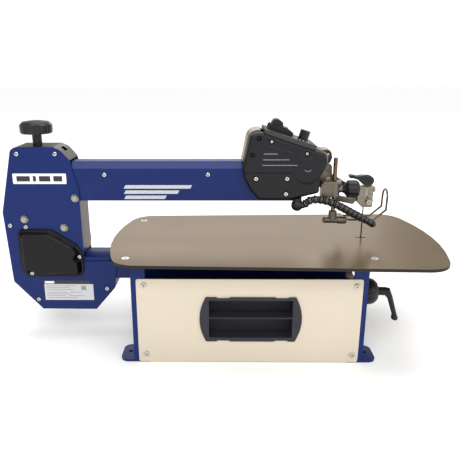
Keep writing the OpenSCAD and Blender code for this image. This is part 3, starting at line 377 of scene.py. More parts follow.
def moulded(name, outline, y_back, height, mat, body, rings, lines=(), circles=(), step=2.4, side=-1, thick=2.4):
    """A moulded cover in the XZ plane: an outline (mm), a height field over it, walls back to y_back.
    lines are polylines whose points must lie on edges, circles are (x, z, r) rings that must; side -1 faces -Y."""
    base = densify(outline, 2.2)
    pts, edges, faces = [], [], []

    def loop(p):
        k = len(pts)
        pts.extend(Vector(q) for q in p)
        edges.extend((k + i, k + (i + 1) % len(p)) for i in range(len(p)))

    loop(base)
    for d in rings:
        loop(ring_in(base, d))
    for ln in lines:
        k = len(pts)
        pts.extend(Vector(q) for q in ln)
        edges.extend((k + i, k + i + 1) for i in range(len(ln) - 1))
    for cx, cz, r in circles:
        loop([(cx + r * math.cos(2 * math.pi * i / 24), cz + r * math.sin(2 * math.pi * i / 24)) for i in range(24)])
    xs, zs = [p[0] for p in base], [p[1] for p in base]
    gx, gz = np.meshgrid(np.arange(min(xs), max(xs), step), np.arange(min(zs), max(zs), step * 0.87))
    gx = gx + (np.arange(gx.shape[0]) % 2)[:, None] * step / 2
    gx, gz = gx.ravel(), gz.ravel()
    keep = inside(gx, gz, base) & (seg_dist(gx, gz, base, True) > max(rings) + step * 0.6)
    for ln in lines:
        keep &= seg_dist(gx, gz, ln, False) > 0.8
    for cx, cz, r in circles:
        keep &= np.abs(np.hypot(gx - cx, gz - cz) - r) > 0.5
    pts.extend(Vector((float(a), float(b))) for a, b in zip(gx[keep], gz[keep]))
    v2, e2, f2, _, _, _ = delaunay_2d_cdt(pts, edges, [], 0, 1e-5)
    px, pz = np.array([v.x for v in v2]), np.array([v.y for v in v2])
    d = seg_dist(px, pz, base, True)
    h = height(px, pz, d)
    tri = [f for f in f2 if len(f) == 3]
    c = np.array([[px[list(f)].mean(), pz[list(f)].mean()] for f in tri])
    ok = inside(c[:, 0], c[:, 1], base)
    bm = bmesh.new()
    vs = [bm.verts.new((px[i] * MM, side * h[i] * MM, pz[i] * MM)) for i in range(len(px))]
    for f, o in zip(tri, ok):
        if o:
            try:
                bm.faces.new([vs[i] for i in f])
            except ValueError:
                pass
    loose = [v for v in bm.verts if not v.link_faces]
    bmesh.ops.delete(bm, geom=loose, context="VERTS")
    rim = [e for e in bm.edges if len(e.link_faces) == 1]
    ext = bmesh.ops.extrude_edge_only(bm, edges=rim)
    for g in ext["geom"]:
        if isinstance(g, bmesh.types.BMVert):
            g.co.y = side * y_back * MM
    bmesh.ops.recalc_face_normals(bm, faces=bm.faces)
    top = max(bm.faces, key=lambda f: side * f.calc_center_median().y)
    if top.normal.y * side < 0:
        bmesh.ops.reverse_faces(bm, faces=bm.faces)
    o = obj_from_bm(bm, name, mat, body)
    s = o.modifiers.new("wall", "SOLIDIFY")
    s.thickness = thick * MM
    s.offset = -1
    w = o.modifiers.new("normals", "WEIGHTED_NORMAL")
    w.weight = 50
    return o


# ------------------------------------------------------------------ covers of the head
HC = [(-7, 385, 8), (-12, 366, 10), (-9, 345, 10), (3, 322, 14), (20, 302, 8), (80, 302, 10), (136, 316, 6), (136, 346, 8), (149, 372, 18),
      (147, 390.5, 12), (124, 398, 4), (22, 432, 4), (2, 431, 16)]
HSC = [(18, 420.5), (6, 389.5), (42, 414.5), (109, 391.8), (14, 344), (73, 344), (72, 314)]
HSR = [3.9, 3.9, 4.3, 4.3, 5.6, 5.2, 5.2]   # radius of each screw's seat


def arc(cx, cz, r, a0, a1, n):
    return [(cx + r * math.cos(math.radians(a0 + (a1 - a0) * i / n)), cz + r * math.sin(math.radians(a0 + (a1 - a0) * i / n))) for i in range(n + 1)]


RIBS = [[(27, 392), (54, 392)], [(26, 381), (76, 381)], [(25, 370.5), (105, 370.5)]]
SMILE = arc(111.5, 367, 8, 215, 325, 10)
GROOVE = [(31, 409), (44, 405.4), (57, 402), (70, 398), (80, 394.8), (92, 391)] + arc(109, 390.5, 9, 195, 325, 8)


def beside(ln, w):
    out = []
    for i, p in enumerate(ln):
        a, b = Vector(ln[max(i - 1, 0)]), Vector(ln[min(i + 1, len(ln) - 1)])
        t = (b - a).normalized()
        out.append((p[0] - t.y * w, p[1] + t.x * w))
    return out


def line_set(ln, w):
    fine = []
    for i in range(len(ln) - 1):
        a, b = Vector(ln[i]), Vector(ln[i + 1])
        n = max(1, int((b - a).length / 3))
        fine += [tuple(a.lerp(b, k / n)) for k in range(n)]
    fine.append(ln[-1])
    return [beside(fine, -w), fine, beside(fine, w)]


def head_height(px, pz, d):
    # rounded edge, raised upper field that runs into the round boss over the front pivot
    r = 6.5
    e = np.clip(d / r, 0, 1)
    edge = 7.0 * (1 - np.sqrt(np.clip(1 - (1 - e) ** 2, 0, 1)))
    k = np.hypot(px - 111, pz - 363) - 28
    up = np.minimum(355.5 - pz, np.where(px > 60, k, 1e9)) * -1
    up = np.maximum(pz - 355.5, -k)
    raise_ = sstep((up + 2.6) / 5.2)
    boss = 1.3 * sstep((26 - np.hypot(px - 111, pz - 363)) / 9)
    h = 46.6 + 2.0 * raise_ + boss - edge
    h = h - 0.9 * np.clip(1 - seg_dist(px, pz, GROOVE, False) / 1.0, 0, 1)
    for (x, z), r in zip(HSC, HSR):
        q = np.hypot(px - x, pz - z)
        h = np.where(q < r + 0.1, np.minimum(h, 46.5 - 1.4), h)
    return h


hl = line_set(GROOVE, 1.0)
hcirc = [(x, z, r + k) for (x, z), r in zip(HSC, HSR) for k in (0, 0.6)]
for side, nm, node in ((-1, "near_head_cover_moulded", "near_head_cover"), (1, "far_head_cover_moulded", "far_head_cover")):
    o = moulded(nm, rounded(HC), 29.0, head_height, HEADP, "saw_frame", (0.35, 0.9, 1.6, 2.5, 3.6, 5.0, 6.4), hl, hcirc, 2.4, side, 2.2)
    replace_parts(o, node)



def bead(name, ln, y, r, mat, side):
    """A raised half-round moulding along a line on a cover."""
    bm = bmesh.new()
    n = 8
    prev = None
    for i, p in enumerate(ln):
        a, b = Vector(ln[max(i - 1, 0)]), Vector(ln[min(i + 1, len(ln) - 1)])
        t = (b - a).normalized()
        k = 0.35 if i in (0, len(ln) - 1) else 1.0
        ring = []
        for j in range(n + 1):
            th = math.pi * j / n
            w, h = math.cos(th) * r * k, math.sin(th) * r * k
            ring.append(bm.verts.new(((p[0] - t.y * w) * MM, side * (y + h) * MM, (p[1] + t.x * w) * MM)))
        if prev:
            for j in range(n):
                bm.faces.new((prev[j], prev[j + 1], ring[j + 1], ring[j]))
            bm.faces.new((prev[0], ring[0], ring[n], prev[n]))
        else:
            bm.faces.new(ring)
        prev = ring
    bm.faces.new(prev)
    bmesh.ops.recalc_face_normals(bm, faces=bm.faces)
    return obj_from_bm(bm, name, mat, "saw_frame")


for side, nm in ((-1, "near"), (1, "far")):
    # the ribs and the arc are coloured light grey as a painted highlight
    for i, ln in enumerate(RIBS):
        (x0, z), (x1, _) = ln
        bead("%s_cover_rib_%d" % (nm, i), [(x0, z), (x0 + 1, z)] + [(x0 + 1 + (x1 - x0 - 2) * k / 6, z) for k in range(1, 6)] + [(x1 - 1, z), (x1, z)], 48.5, 0.95, RIB_HIGHLIGHT_M, side)
    bead("%s_cover_arc" % nm, SMILE, 49.7, 0.8, RIB_HIGHLIGHT_M, side)
    bead("%s_cover_line" % nm, GROOVE[:6], 48.35, 0.45, LINEM, side)

# ------------------------------------------------------------------ cover of the crank
CC = [(-460, 231, 9), (-453, 240, 9), (-393, 240, 12), (-342, 208, 16), (-332, 190, 12), (-331, 150, 12), (-338, 139, 12), (-450, 139, 12), (-460, 158, 10)]
CSC = [(-339, 182), (-438, 147)]


def crank_height(px, pz, d):
    h = 35.0 - 1.2 * (1 - np.clip(d / 1.2, 0, 1)) ** 2 + 11.6 * sstep((d - 3.4) / 8.5) + 0.5 * sstep((d - 12) / 30)
    for x, z in CSC:
        q = np.hypot(px - x, pz - z)
        h = np.minimum(h, 35.0 + 12.2 * sstep((q - 5.0) / 5.5))
    return h


o = moulded("crank_cover_moulded", rounded(CC), 32.0, crank_height, COVERP, "saw_frame",
            (0.4, 1.2, 3.4, 4.6, 6.0, 7.6, 9.4, 11.9), (), [(x, z, r) for x, z in CSC for r in (5.0, 6.4, 7.8, 9.2, 10.5)], 2.0, -1, 2.2)
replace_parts(o, "crank_cover")


# ------------------------------------------------------------------ screws and bolts
def revolve_y(bm, prof, x, y, z, side, n=28, mat=0):
    """prof is (radius, height) in mm from the seat outwards; the axis is Y."""
    rings = []
    for r, h in prof:
        if r < 1e-6:
            rings.append([bm.verts.new((x * MM, (y + side * h) * MM, z * MM))])
        else:
            rings.append([bm.verts.new(((x + r * math.cos(2 * math.pi * i / n)) * MM, (y + side * h) * MM, (z + r * math.sin(2 * math.pi * i / n)) * MM)) for i in range(n)])
    fs = []
    for a, b in zip(rings, rings[1:]):
        for i in range(n):
            j = (i + 1) % n
            if len(a) == 1:
                fs.append(bm.faces.new((a[0], b[i], b[j])))
            elif len(b) == 1:
                fs.append(bm.faces.new((a[i], a[j], b[0])))
            else:
                fs.append(bm.faces.new((a[i], a[j], b[j], b[i])))
    if len(rings[0]) > 1:
        fs.append(bm.faces.new(rings[0]))
    for f in fs:
        f.material_index = mat
    return fs


def pan_mesh(r, h, cross=0.9):
    """A pan head screw with a cross recess, seat at 0, head towards -Y, mm scaled to metres."""
    bm = bmesh.new()
    prof = [(r * 0.94, 0), (r, h * 0.12), (r * 0.995, h * 0.45), (r * 0.93, h * 0.72), (r * 0.78, h * 0.9), (r * 0.5, h * 0.985), (0, h)]
    revolve_y(bm, prof, 0, 0, 0, -1, 32)
    revolve_y(bm, [(r * 0.5, -2.4), (r * 0.5, 0.2)], 0, 0, 0, -1, 16)
    me = bpy.data.meshes.new("pan")
    bmesh.ops.recalc_face_normals(bm, faces=bm.faces)
    bm.to_mesh(me)
    bm.free()
    head = bpy.data.objects.new("pan_tool", me)
    scene.collection.objects.link(head)
    bm = bmesh.new()
    L, W = r * 0.56, r * 0.15
    for k in (0, 1):
        top = [(-L, -W), (L, -W), (L, W), (-L, W)]
        bot = [(-L * 0.45, -W * 0.8), (L * 0.45, -W * 0.8), (L * 0.45, W * 0.8), (-L * 0.45, W * 0.8)]
        if k:
            top, bot = [(b, a) for a, b in top], [(b, a) for a, b in bot]
        t = [bm.verts.new((a * MM, -(h + 0.4) * MM, b * MM)) for a, b in top]
        u = [bm.verts.new((a * MM, -(h - 1.5) * MM, b * MM)) for a, b in bot]
        bm.faces.new(t)
        bm.faces.new(list(reversed(u)))
        for i in range(4):
            bm.faces.new((t[i], u[i], u[(i + 1) % 4], t[(i + 1) % 4]))
        bmesh.ops.recalc_face_normals(bm, faces=bm.faces)
    me2 = bpy.data.meshes.new("cross")
    bm.to_mesh(me2)
    bm.free()
    cut = bpy.data.objects.new("cross_tool", me2)
    scene.collection.objects.link(cut)
    m = head.modifiers.new("cut", "BOOLEAN")
    m.operation = "DIFFERENCE"
    m.solver = "EXACT"
    m.use_self = True
    m.object = cut
    bpy.context.view_layer.update()
    dg = bpy.context.evaluated_depsgraph_get()
    out = bpy.data.meshes.new_from_object(head.evaluated_get(dg))
    bpy.data.objects.remove(head)
    bpy.data.objects.remove(cut)
    return out


def add_screws(bm, mesh, places, index=0):
    """places are (x, y, z, side, twist)."""
    k = len(bm.faces)
    for x, y, z, s, tw in places:
        t = bmesh.new()
        t.from_mesh(mesh)
        rot = Matrix.Rotation(math.radians(tw), 4, "Y")
        if s > 0:
            rot = Matrix.Rotation(math.pi, 4, "Z") @ rot
        bmesh.ops.transform(t, matrix=Matrix.Translation(Vector((x, y, z)) * MM) @ rot, verts=t.verts)
        tmp = bpy.data.meshes.new("t")
        t.to_mesh(tmp)
        t.free()
        bm.from_mesh(tmp)
        bpy.data.meshes.remove(tmp)
    bm.faces.ensure_lookup_table()
    for f in bm.faces[k:]:
        f.material_index = index


def screws(name, mesh, places, mat, body):
    bm = bmesh.new()
    add_screws(bm, mesh, places)
    o = obj_from_bm(bm, name, mat, body)
    for p in o.data.polygons:
        p.use_smooth = True
    e = o.modifiers.new("split", "EDGE_SPLIT")
    e.split_angle = math.radians(38)
    return o


PAN = pan_mesh(4.4, 2.8)
PANB = pan_mesh(5.0, 3.0)
PANS = pan_mesh(3.1, 2.4)
BOLTS = [(-443, 260), (-365, 243), (-339, 303)]
COLS = [(-445, 390), (-371, 390), (-473, 247), (-431, 88), (-287, 112)]
ARMS = [(-279, 349), (-78, 349)]
pl = []
for i, (x, z) in enumerate(COLS):
    pl += [(x, -32, z, -1, 20 + 37 * i), (x, 32, z, 1, 50 + 29 * i)]
for i, (x, z) in enumerate([(-442, 244), (-339, 182), (-438, 147)]):
    pl.append((x, -32 if i == 0 else -35, z, -1, 10 + 41 * i))
for i, (x, z) in enumerate(ARMS):
    pl += [(x, -29, z, -1, 33 + 31 * i), (x, 29, z, 1, 12 + 31 * i)]
o = screws("frame_screw_heads", PAN, pl, ZINC, "saw_frame")
bm = bmesh.new()
bm.from_mesh(o.data)
for i, (x, z) in enumerate(HSC):
    add_screws(bm, PANS if i < 4 else PAN, [(x, -45.1, z, -1, 15 + 23 * i), (x, 45.1, z, 1, 40 + 23 * i)], 1 if i < 2 else 0)
bm.to_mesh(o.data)
bm.free()
o.data.materials.append(BLACK)
for q in o.data.polygons:
    q.use_smooth = True
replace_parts(o, "frame_screws")

# hex bolts on the columns, with the sleeves that the rear rocker and the lower rocker turn on
bm = bmesh.new()


def add_rod(r, y0, y1, x, z, n=40, top=None):
    t = bmesh.new()
    bmesh.ops.create_cone(t, cap_ends=True, segments=n, radius1=r * MM, radius2=(top or r) * MM, depth=(y1 - y0) * MM)
    bmesh.ops.transform(t, matrix=Matrix.Translation(Vector((x, (y0 + y1) / 2, z)) * MM) @ Matrix.Rotation(math.radians(-90), 4, "X") @ Matrix.Rotation(math.radians(7 * x), 4, "Z"), verts=t.verts)
    tmp = bpy.data.meshes.new("t")
    t.to_mesh(tmp)
    t.free()
    bm.from_mesh(tmp)
    bpy.data.meshes.remove(tmp)


for i, (x, z) in enumerate(BOLTS):
    for sgn in (-1, 1):
        def span(a, b, sgn=sgn):
            return (a, b) if sgn > 0 else (-b, -a)
        add_rod(7.6, *span(32.0, 33.1), x, z)
        add_rod(6.7, *span(33.0, 37.4), x, z, 6)
        lo, hi = span(37.3, 38.2)
        add_rod(5.9 if sgn > 0 else 5.0, lo, hi, x, z, 24, 5.0 if sgn > 0 else 5.9)
    if i != 1:
        add_rod(9 if i == 0 else 7, -29, 29, x, z)
    else:
        add_rod(4, -32.5, -26, x, z)
        add_rod(4, 26, 32.5, x, z)
o = obj_from_bm(bm, "column_bolt_heads", BOLTM, "saw_frame")
e = o.modifiers.new("split", "EDGE_SPLIT")
e.split_angle = math.radians(25)
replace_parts(o, "column_bolts")
PS = [(-196, 161), (199, 160), (-196, 18), (200, 17)]
pl = []
for i, (x, z) in enumerate(PS):
    pl += [(x, -132, z, -1, 25 + 33 * i), (x, 132, z, 1, 5 + 33 * i)]
o = screws("panel_screw_heads", PANB, pl, ZINC, "base")
bm = bmesh.new()
bm.from_mesh(o.data)
for s in (-1, 1):
    for a in (-34, -12, 12, 34):
        y, z = math.sin(math.radians(a)) * 148, 213 - math.cos(math.radians(a)) * 148
        t = bmesh.new()
        t.from_mesh(PAN)
        bmesh.ops.transform(t, matrix=Matrix.Translation(Vector((s * 226, y, z)) * MM) @ Matrix.Rotation(math.radians(90 * s), 4, "Z") @ Matrix.Rotation(math.radians(17 * a), 4, "Y"), verts=t.verts)
        tmp = bpy.data.meshes.new("t")
        t.to_mesh(tmp)
        t.free()
        bm.from_mesh(tmp)
bm.to_mesh(o.data)
bm.free()
for p in o.data.polygons:
    p.use_smooth = True
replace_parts(o, "base_screws")


# ------------------------------------------------------------------ swept tubes
def catmull(p, step):
    out = []
    for i in range(len(p) - 1):
        a, b = p[i], p[i + 1]
        z, c = p[max(i - 1, 0)], p[min(i + 2, len(p) - 1)]
        n = max(2, int((b - a).length / step))
        for k in range(n):
            t = k / n
            out.append(0.5 * ((2 * a) + (b - z) * t + (2 * z - 5 * a + 4 * b - c) * t * t + (3 * a - z - 3 * b + c) * t ** 3))
    out.append(p[-1])
    return out


def tube(name, pts, radius, mat, body, n=28, step=0.5, caps=True):
    """pts in mm, radius(s) in mm along the length s."""
    P = catmull([Vector(p) for p in pts], 1.0)
    s = [0.0]
    for a, b in zip(P, P[1:]):
        s.append(s[-1] + (b - a).length)
    m = int(s[-1] / step)
    Q = []
    k = 0
    for i in range(m + 1):
        t = s[-1] * i / m
        while k < len(s) - 2 and s[k + 1] < t:
            k += 1
        f = (t - s[k]) / max(1e-9, s[k + 1] - s[k])
        Q.append((t, P[k].lerp(P[k + 1], f)))
    bm = bmesh.new()
    prev = None
    side = Vector((0, 0, 1)).cross(Q[1][1] - Q[0][1]).normalized()
    for i, (t, p) in enumerate(Q):
        d = (Q[min(i + 1, m)][1] - Q[max(i - 1, 0)][1]).normalized()
        side = (side - d * side.dot(d)).normalized()
        up = d.cross(side)
        r = radius(t, s[-1])
        ring = [bm.verts.new((p + (side * math.cos(2 * math.pi * j / n) + up * math.sin(2 * math.pi * j / n)) * r) * MM) for j in range(n)]
        if prev:
            for j in range(n):
                bm.faces.new((prev[j], prev[(j + 1) % n], ring[(j + 1) % n], ring[j]))
        elif caps:
            bm.faces.new(list(reversed(ring)))
        prev = ring
    if caps:
        bm.faces.new(prev)
    bmesh.ops.recalc_face_normals(bm, faces=bm.faces)
    return obj_from_bm(bm, name, mat, body), s[-1]


# the blower hose: rings of a stiff gooseneck, with a rounded open nozzle
HOSE = [(100.5, -40, 291.5), (104.5, -40, 291.6), (109.7, -40.5, 293.9), (114.8, -41.6, 298.2), (122, -42.4, 301.8), (134, -42.6, 303), (149.9, -42.6, 300.4),
        (166.7, -42.4, 294.6), (182.3, -41, 286.7), (192.7, -39, 280.9), (203.2, -36.6, 274.8), (212.5, -33.8, 269.6), (221.9, -30.6, 264),
        (229, -28.6, 260.2), (235.1, -27.4, 257), (240.5, -26.8, 254.1), (244.6, -26.3, 251.6), (248.6, -25.9, 248.8), (252.4, -25.6, 245.6)]
PITCH = 10.6


def hose_r(t, total):
    left = total - t
    if left < 8.4:
        # the nozzle: a ball end with an open mouth
        q = 1 - left / 8.4
        return 7.2 * math.sqrt(max(0.2, 1 - (max(0, q - 0.35) / 0.72) ** 2))
    if t < 4.5:
        return 6.9
    u = (((total - 8.4) - t) / PITCH) % 1.0
    # each joint: a ball that sits in the flared rim of the one before it
    big = 8.25 if left > 34 else 7.4
    low = 5.3
    if 0.02 < u < 0.66:
        return low + (big - low) * math.sqrt(max(0.0, 1 - (abs(u - 0.34) / 0.33) ** 2.2))
    if abs(u - 0.83) < 0.13:
        return low + (big - 0.5 - low) * math.sqrt(max(0.0, 1 - (abs(u - 0.83) / 0.13) ** 3))
    return low


hose, hose_len = tube("blower_hose_rings", HOSE, hose_r, HOSEM, "blower_hose", 28, 0.45)
e = hose.modifiers.new("split", "EDGE_SPLIT")
e.split_angle = math.radians(50)
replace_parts(hose, "air_hose")


# ------------------------------------------------------------------ near panel: one folded sheet
def bent_panel(name, y_face, side, window, mat):
    """A sheet 2 mm thick whose top and bottom bands lean back a little, as folded steel does."""
    out = rounded([(-211, 1, 4), (211, 1, 4), (211, 173, 4), (-211, 173, 4)])
    pts, edges = [], []

    def loop(p, closed=True):
        k = len(pts)
        pts.extend(Vector(q) for q in p)
        edges.extend((k + i, k + (i + 1) % len(p)) for i in range(len(p) - (0 if closed else 1)))

    loop(out)
    if window:
        loop(window)
    for z in (33.0, 34.0, 35.0, 36.0, 37.0, 149, 150, 151, 152, 153):
        loop([(-210.99, z), (210.99, z)], False)
    v2, e2, f2, _, _, _ = delaunay_2d_cdt(pts, edges, [], 0, 1e-5)
    px, pz = np.array([v.x for v in v2]), np.array([v.y for v in v2])

    def lean(z):
        low = np.clip(35.0 - z, 0, None)
        low = np.where((z > 33) & (z < 37), (37 - z) ** 2 / 8, low)
        low = np.where(z <= 33, 35 - z, low)
        hi = np.where(z >= 153, z - 151, np.where(z > 149, (z - 149) ** 2 / 8, 0))
        return 0.052 * np.where(z < 60, np.where(z < 37, low, 0), 0) + 0.035 * hi

    dy = lean(pz)
    tri = [f for f in f2 if len(f) == 3]
    c = np.array([[px[list(f)].mean(), pz[list(f)].mean()] for f in tri])
    ok = inside(c[:, 0], c[:, 1], out)
    if window:
        ok &= ~inside(c[:, 0], c[:, 1], window)
    bm = bmesh.new()
    vs = [bm.verts.new((px[i] * MM, side * (y_face - dy[i]) * MM, pz[i] * MM)) for i in range(len(px))]
    for f, k in zip(tri, ok):
        if k:
            bm.faces.new([vs[i] for i in f])
    bmesh.ops.delete(bm, geom=[v for v in bm.verts if not v.link_faces], context="VERTS")
    bmesh.ops.recalc_face_normals(bm, faces=bm.faces)
    if next(iter(bm.faces)).normal.y * side < 0:
        bmesh.ops.reverse_faces(bm, faces=bm.faces)
    bmesh.ops.dissolve_limit(bm, angle_limit=0.001, verts=bm.verts, edges=bm.edges)
    o = obj_from_bm(bm, name, mat, "base")
    s = o.modifiers.new("sheet", "SOLIDIFY")
    s.thickness = 0.9 * MM
    s.offset = -1
    b = o.modifiers.new("round", "BEVEL")
    b.width = 0.35 * MM
    b.segments = 2
    b.limit_method = "ANGLE"
    b.angle_limit = math.radians(50)
    w = o.modifiers.new("normals", "WEIGHTED_NORMAL")
    w.weight = 80
    return o


WIN = [(-79, 51), (86, 51), (86, 134), (-79, 134)]
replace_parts(bent_panel("near_side_sheet", 132, -1, WIN, CREAM), "near_side_panel")
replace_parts(bent_panel("far_side_sheet", 132, 1, None, CREAM), "far_side_panel")

# the table's ground face and its darker cut edge
t = N["table"]
t.data.materials.append(EDGE)
for p in t.data.polygons:
    p.material_index = 0 if abs(p.normal.z) > 0.8 else 1

# ------------------------------------------------------------------ labels with no lettering
plate_xz("strip_label", rounded_rect(-457.5, 331.5, -353, 352, 1.5), -32.35, -31.9, WHITE, "saw_frame", 0.1, 1)
for i, (x0, x1) in enumerate(((-450, -424), (-418, -412), (-406, -384), (-378, -361))):
    plate_xz("strip_label_mark_%d" % i, rounded_rect(x0, 336.5, x1, 347, 1.0), -32.5, -32.2, INK, "saw_frame", 0.04, 1)
plate_xz("data_plate", rounded_rect(-417, 86, -316, 121.5, 0.8), -32.35, -31.9, PLATE, "saw_frame", 0.1, 1)
plate_xz("data_plate_head", rounded_rect(-417, 121.5, -323, 129.5, 0.8), -32.4, -31.9, INK, "saw_frame", 0.1, 1)
plate_xz("data_plate_block", rounded_rect(-415.5, 123, -396, 128, 0.4), -32.5, -32.2, WHITE, "saw_frame", 0.04, 1)
for i, (x0, x1, z) in enumerate(((-413, -352, 117.5), (-413, -365, 113.5), (-413, -358, 109.5), (-413, -371, 103.5), (-364, -340, 103.5),
                                 (-413, -362, 99.5), (-413, -375, 95.5), (-368, -336, 95.5), (-413, -350, 91))):
    plate_xz("data_plate_rule_%d" % i, rounded_rect(x0, z - 0.6, x1, z + 0.6, 0.3), -32.45, -32.2, LGRAY, "saw_frame", 0.0)
plate_xz("data_plate_box", rounded_rect(-341, 108, -331, 118, 0.6), -32.45, -32.2, LGRAY, "saw_frame", 0.04, 1)


def arm_y(z):
    return -27.5 - 1.5 * (z - 297) / 34


# three plain silver stripes on the lean of the arm's lower side
for i, (x0, x1, z0, z1) in enumerate(((-243, -109, 321.5, 328.5), (-243, -134, 311, 318), (-243, -159, 300.5, 307.5))):
    bm = bmesh.new()
    k = (z1 - z0) * 0.55
    q = [(x0, z0), (x1 - k, z0), (x1, z1), (x0 + k, z1)]
    a = [bm.verts.new((x * MM, (arm_y(z) - 0.3) * MM, z * MM)) for x, z in q]
    b = [bm.verts.new((x * MM, (arm_y(z) + 0.1) * MM, z * MM)) for x, z in q]
    bm.faces.new(a)
    bm.faces.new(list(reversed(b)))
    for j in range(4):
        bm.faces.new((a[j], b[j], b[(j + 1) % 4], a[(j + 1) % 4]))
    bmesh.ops.recalc_face_normals(bm, faces=bm.faces)
    obj_from_bm(bm, "arm_stripe_%d" % i, SILVER, "saw_frame", smooth=False)


# ------------------------------------------------------------------ plain dots round the speed dial
tilt = Matrix.Translation(Vector((103, -12, 411)) * MM) @ Matrix.Rotation(math.radians(17.7), 4, "Y")
bm = bmesh.new()
for i in range(11):
    a = math.radians(-150 + 30 * i - 90)
    t = bmesh.new()
    bmesh.ops.create_cone(t, cap_ends=True, segments=14, radius1=(1.25 if i % 5 else 1.6) * MM, radius2=(1.0 if i % 5 else 1.3) * MM, depth=0.9 * MM)
    bmesh.ops.transform(t, matrix=tilt @ Matrix.Translation(Vector((math.cos(a) * 13.6, math.sin(a) * 13.6, 2.62)) * MM), verts=t.verts)
    tmp = bpy.data.meshes.new("t")
    t.to_mesh(tmp)
    t.free()
    bm.from_mesh(tmp)
    bpy.data.meshes.remove(tmp)
obj_from_bm(bm, "speed_marks", WHITE, "saw_frame", smooth=False)

# the tan strip over the nose, and its small screw
bm = bmesh.new()
top = [(141.5, 394.9), (152.2, 394.9), (158.6, 392.2), (160.8, 390.3)]
lo = [bm.verts.new((x * MM, y * MM, z * MM)) for y in (-17.5, 17.5) for x, z in top]
hi = [bm.verts.new((x * MM, y * MM, (z + 0.8) * MM)) for y in (-17.5, 17.5) for x, z in top]
m = len(top)
for i in range(m - 1):
    bm.faces.new((hi[i], hi[i + 1], hi[m + i + 1], hi[m + i]))
    bm.faces.new((lo[i], lo[m + i], lo[m + i + 1], lo[i + 1]))
    bm.faces.new((lo[i], lo[i + 1], hi[i + 1], hi[i]))
    bm.faces.new((lo[m + i], hi[m + i], hi[m + i + 1], lo[m + i + 1]))
bm.faces.new((lo[0], hi[0], hi[m], lo[m]))
bm.faces.new((lo[m - 1], lo[2 * m - 1], hi[2 * m - 1], hi[m - 1]))
bmesh.ops.recalc_face_normals(bm, faces=bm.faces)
obj_from_bm(bm, "nose_strip", TAN, "saw_frame", smooth=False)
screws("nose_screws", pan_mesh(2.3, 1.3), [(153.5, -18.5, 386.5, -1, 20), (153.5, 18.5, 386.5, 1, 60)], ZINC, "saw_frame")


# ------------------------------------------------------------------ caps on the tension lever's pivot pin and on the tension knob
def lathe(name, prof, origin, axis, mat, body, n=48):
    """prof is (radius, along) in mm; origin and axis in the row frame."""
    bm = bmesh.new()
    ax = Vector(axis).normalized()
    u = ax.orthogonal().normalized()
    v = ax.cross(u)
    O = Vector(origin)
    rings = []
    for r, h in prof:
        if r < 1e-6:
            rings.append([bm.verts.new((O + ax * h) * MM)])
        else:
            rings.append([bm.verts.new((O + ax * h + (u * math.cos(2 * math.pi * i / n) + v * math.sin(2 * math.pi * i / n)) * r) * MM) for i in range(n)])
    for a, b in zip(rings, rings[1:]):
        for i in range(n):
            j = (i + 1) % n
            if len(a) == 1:
                bm.faces.new((a[0], b[i], b[j]))
            elif len(b) == 1:
                bm.faces.new((a[i], a[j], b[0]))
            else:
                bm.faces.new((a[i], a[j], b[j], b[i]))
    for r in (rings[0], rings[-1]):
        if len(r) > 1:
            bm.faces.new(r)
    bmesh.ops.recalc_face_normals(bm, faces=bm.faces)
    o = obj_from_bm(bm, name, mat, body)
    e = o.modifiers.new("split", "EDGE_SPLIT")
    e.split_angle = math.radians(35)
    return o


for sgn in (-1, 1):
    lathe("lever_pin_cap_%s" % ("near" if sgn < 0 else "far"), [(0, 7.3), (2.9, 7.3), (2.9, 8.4), (2.3, 8.9), (0, 9.0)], (240, 0, 332.5), (0, sgn, 0), SOFTB, "tension_handle")
lathe("tension_knob_cap", [(0, 446.7), (16.6, 446.7), (16.6, 448.7), (15.6, 449.5), (8, 450.3), (0, 450.5)], (-413, 0, 0), (0, 0, 1), CAPM, "blade_tension_knob")


# ------------------------------------------------------------------ camera, light, floor
cam_d = bpy.data.cameras.new("camera")
cam = bpy.data.objects.new("camera", cam_d)
scene.collection.objects.link(cam)
scene.camera = cam
yaw, pitch, roll = math.radians(-0.877), math.radians(17.191), math.radians(-0.188)
fwd = Vector((math.sin(yaw) * math.cos(pitch), math.cos(yaw) * math.cos(pitch), -math.sin(pitch)))
right = Vector((math.cos(yaw), -math.sin(yaw), 0))
up = right.cross(fwd)
r2 = right * math.cos(roll) + up * math.sin(roll)
u2 = up * math.cos(roll) - right * math.sin(roll)
rot = Matrix((r2, u2, -fwd)).transposed()
cam.matrix_world = Matrix.Translation(Vector((-51.3, -1059.9, 550.4)) * MM) @ rot.to_4x4()
cam_d.sensor_width = 36
cam_d.lens = 540.07 / 460 * 36
cam_d.shift_x = (230 - 213.80) / 460
cam_d.shift_y = (232.81 - 230) / 460
cam_d.clip_start, cam_d.clip_end = 0.05, 50


def area(name, loc, target, size, power, col=(1, 1, 1)):
    d = bpy.data.lights.new(name, "AREA")
    d.shape = "RECTANGLE"
    d.size, d.size_y = size
    d.energy = power
    d.color = col
    o = bpy.data.objects.new(name, d)
    scene.collection.objects.link(o)
    o.location = loc
    o.rotation_mode = "QUATERNION"
    o.rotation_quaternion = (Vector(target) - Vector(loc)).to_track_quat("-Z", "Y")
    return o


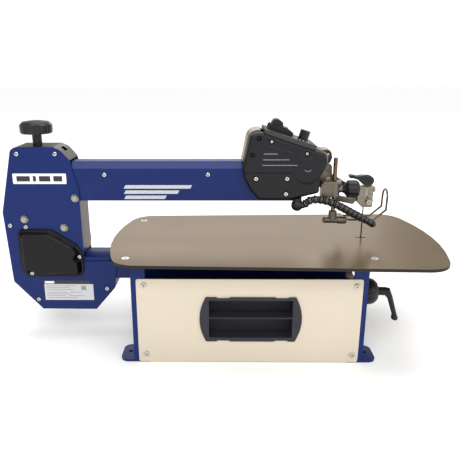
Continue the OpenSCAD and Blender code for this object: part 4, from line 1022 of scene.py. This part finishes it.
area("key", (-0.35, -1.9, 1.9), (0, 0, 0.2), (1.8, 1.2), 30)
area("fill", (1.6, -1.4, 1.2), (0.1, 0, 0.2), (1.2, 1.2), 13)
area("top", (0, 0.3, 2.3), (0, 0, 0.2), (2.2, 1.4), 30)
area("back", (0, 2.2, 1.4), (0, 0, 0.3), (2.0, 1.2), 12)
world = bpy.data.worlds.new("world")
scene.world = world
world.use_nodes = True
wn = world.node_tree
bg = wn.nodes["Background"]
bg.inputs[0].default_value = (1, 1, 1, 1)
bg.inputs[1].default_value = 0.5
bg2 = wn.nodes.new("ShaderNodeBackground")
bg2.inputs[0].default_value = (1, 1, 1, 1)
bg2.inputs[1].default_value = 1.0
lp = wn.nodes.new("ShaderNodeLightPath")
mixw = wn.nodes.new("ShaderNodeMixShader")
wn.links.new(lp.outputs["Is Camera Ray"], mixw.inputs[0])
wn.links.new(bg.outputs[0], mixw.inputs[1])
wn.links.new(bg2.outputs[0], mixw.inputs[2])
wn.links.new(mixw.outputs[0], wn.nodes["World Output"].inputs[0])
bm = bmesh.new()
S = 14
bm.faces.new([bm.verts.new(v) for v in ((-S, -S, -0.0005), (S, -S, -0.0005), (S, S, -0.0005), (-S, S, -0.0005))])
me = bpy.data.meshes.new("floor")
bm.to_mesh(me)
bm.free()
floor = bpy.data.objects.new("floor", me)
scene.collection.objects.link(floor)
FLOOR = material("floor_m", "#f9f9f8", rough=0.8, var=0.003, var_scale=1.5, grain_dist=0.00001, spec=0.05)
pb = next(n for n in FLOOR.node_tree.nodes if n.type == "BSDF_PRINCIPLED")
pb.inputs["Emission Color"].default_value = (1, 1, 1, 1)
fn = FLOOR.node_tree
ftc = fn.nodes.new("ShaderNodeTexCoord")
fl = fn.nodes.new("ShaderNodeVectorMath")
fl.operation = "LENGTH"
fmr = fn.nodes.new("ShaderNodeMapRange")
fmr.interpolation_type = "SMOOTHSTEP"
fmr.inputs["From Min"].default_value = 0.5
fmr.inputs["From Max"].default_value = 2.4
fmr.inputs["To Min"].default_value = 0.16
fmr.inputs["To Max"].default_value = 0.5
fn.links.new(ftc.outputs["Object"], fl.inputs[0])
fn.links.new(fl.outputs["Value"], fmr.inputs["Value"])
fn.links.new(fmr.outputs["Result"], pb.inputs["Emission Strength"])
me.materials.append(FLOOR)
scene.view_settings.view_transform = "Standard"
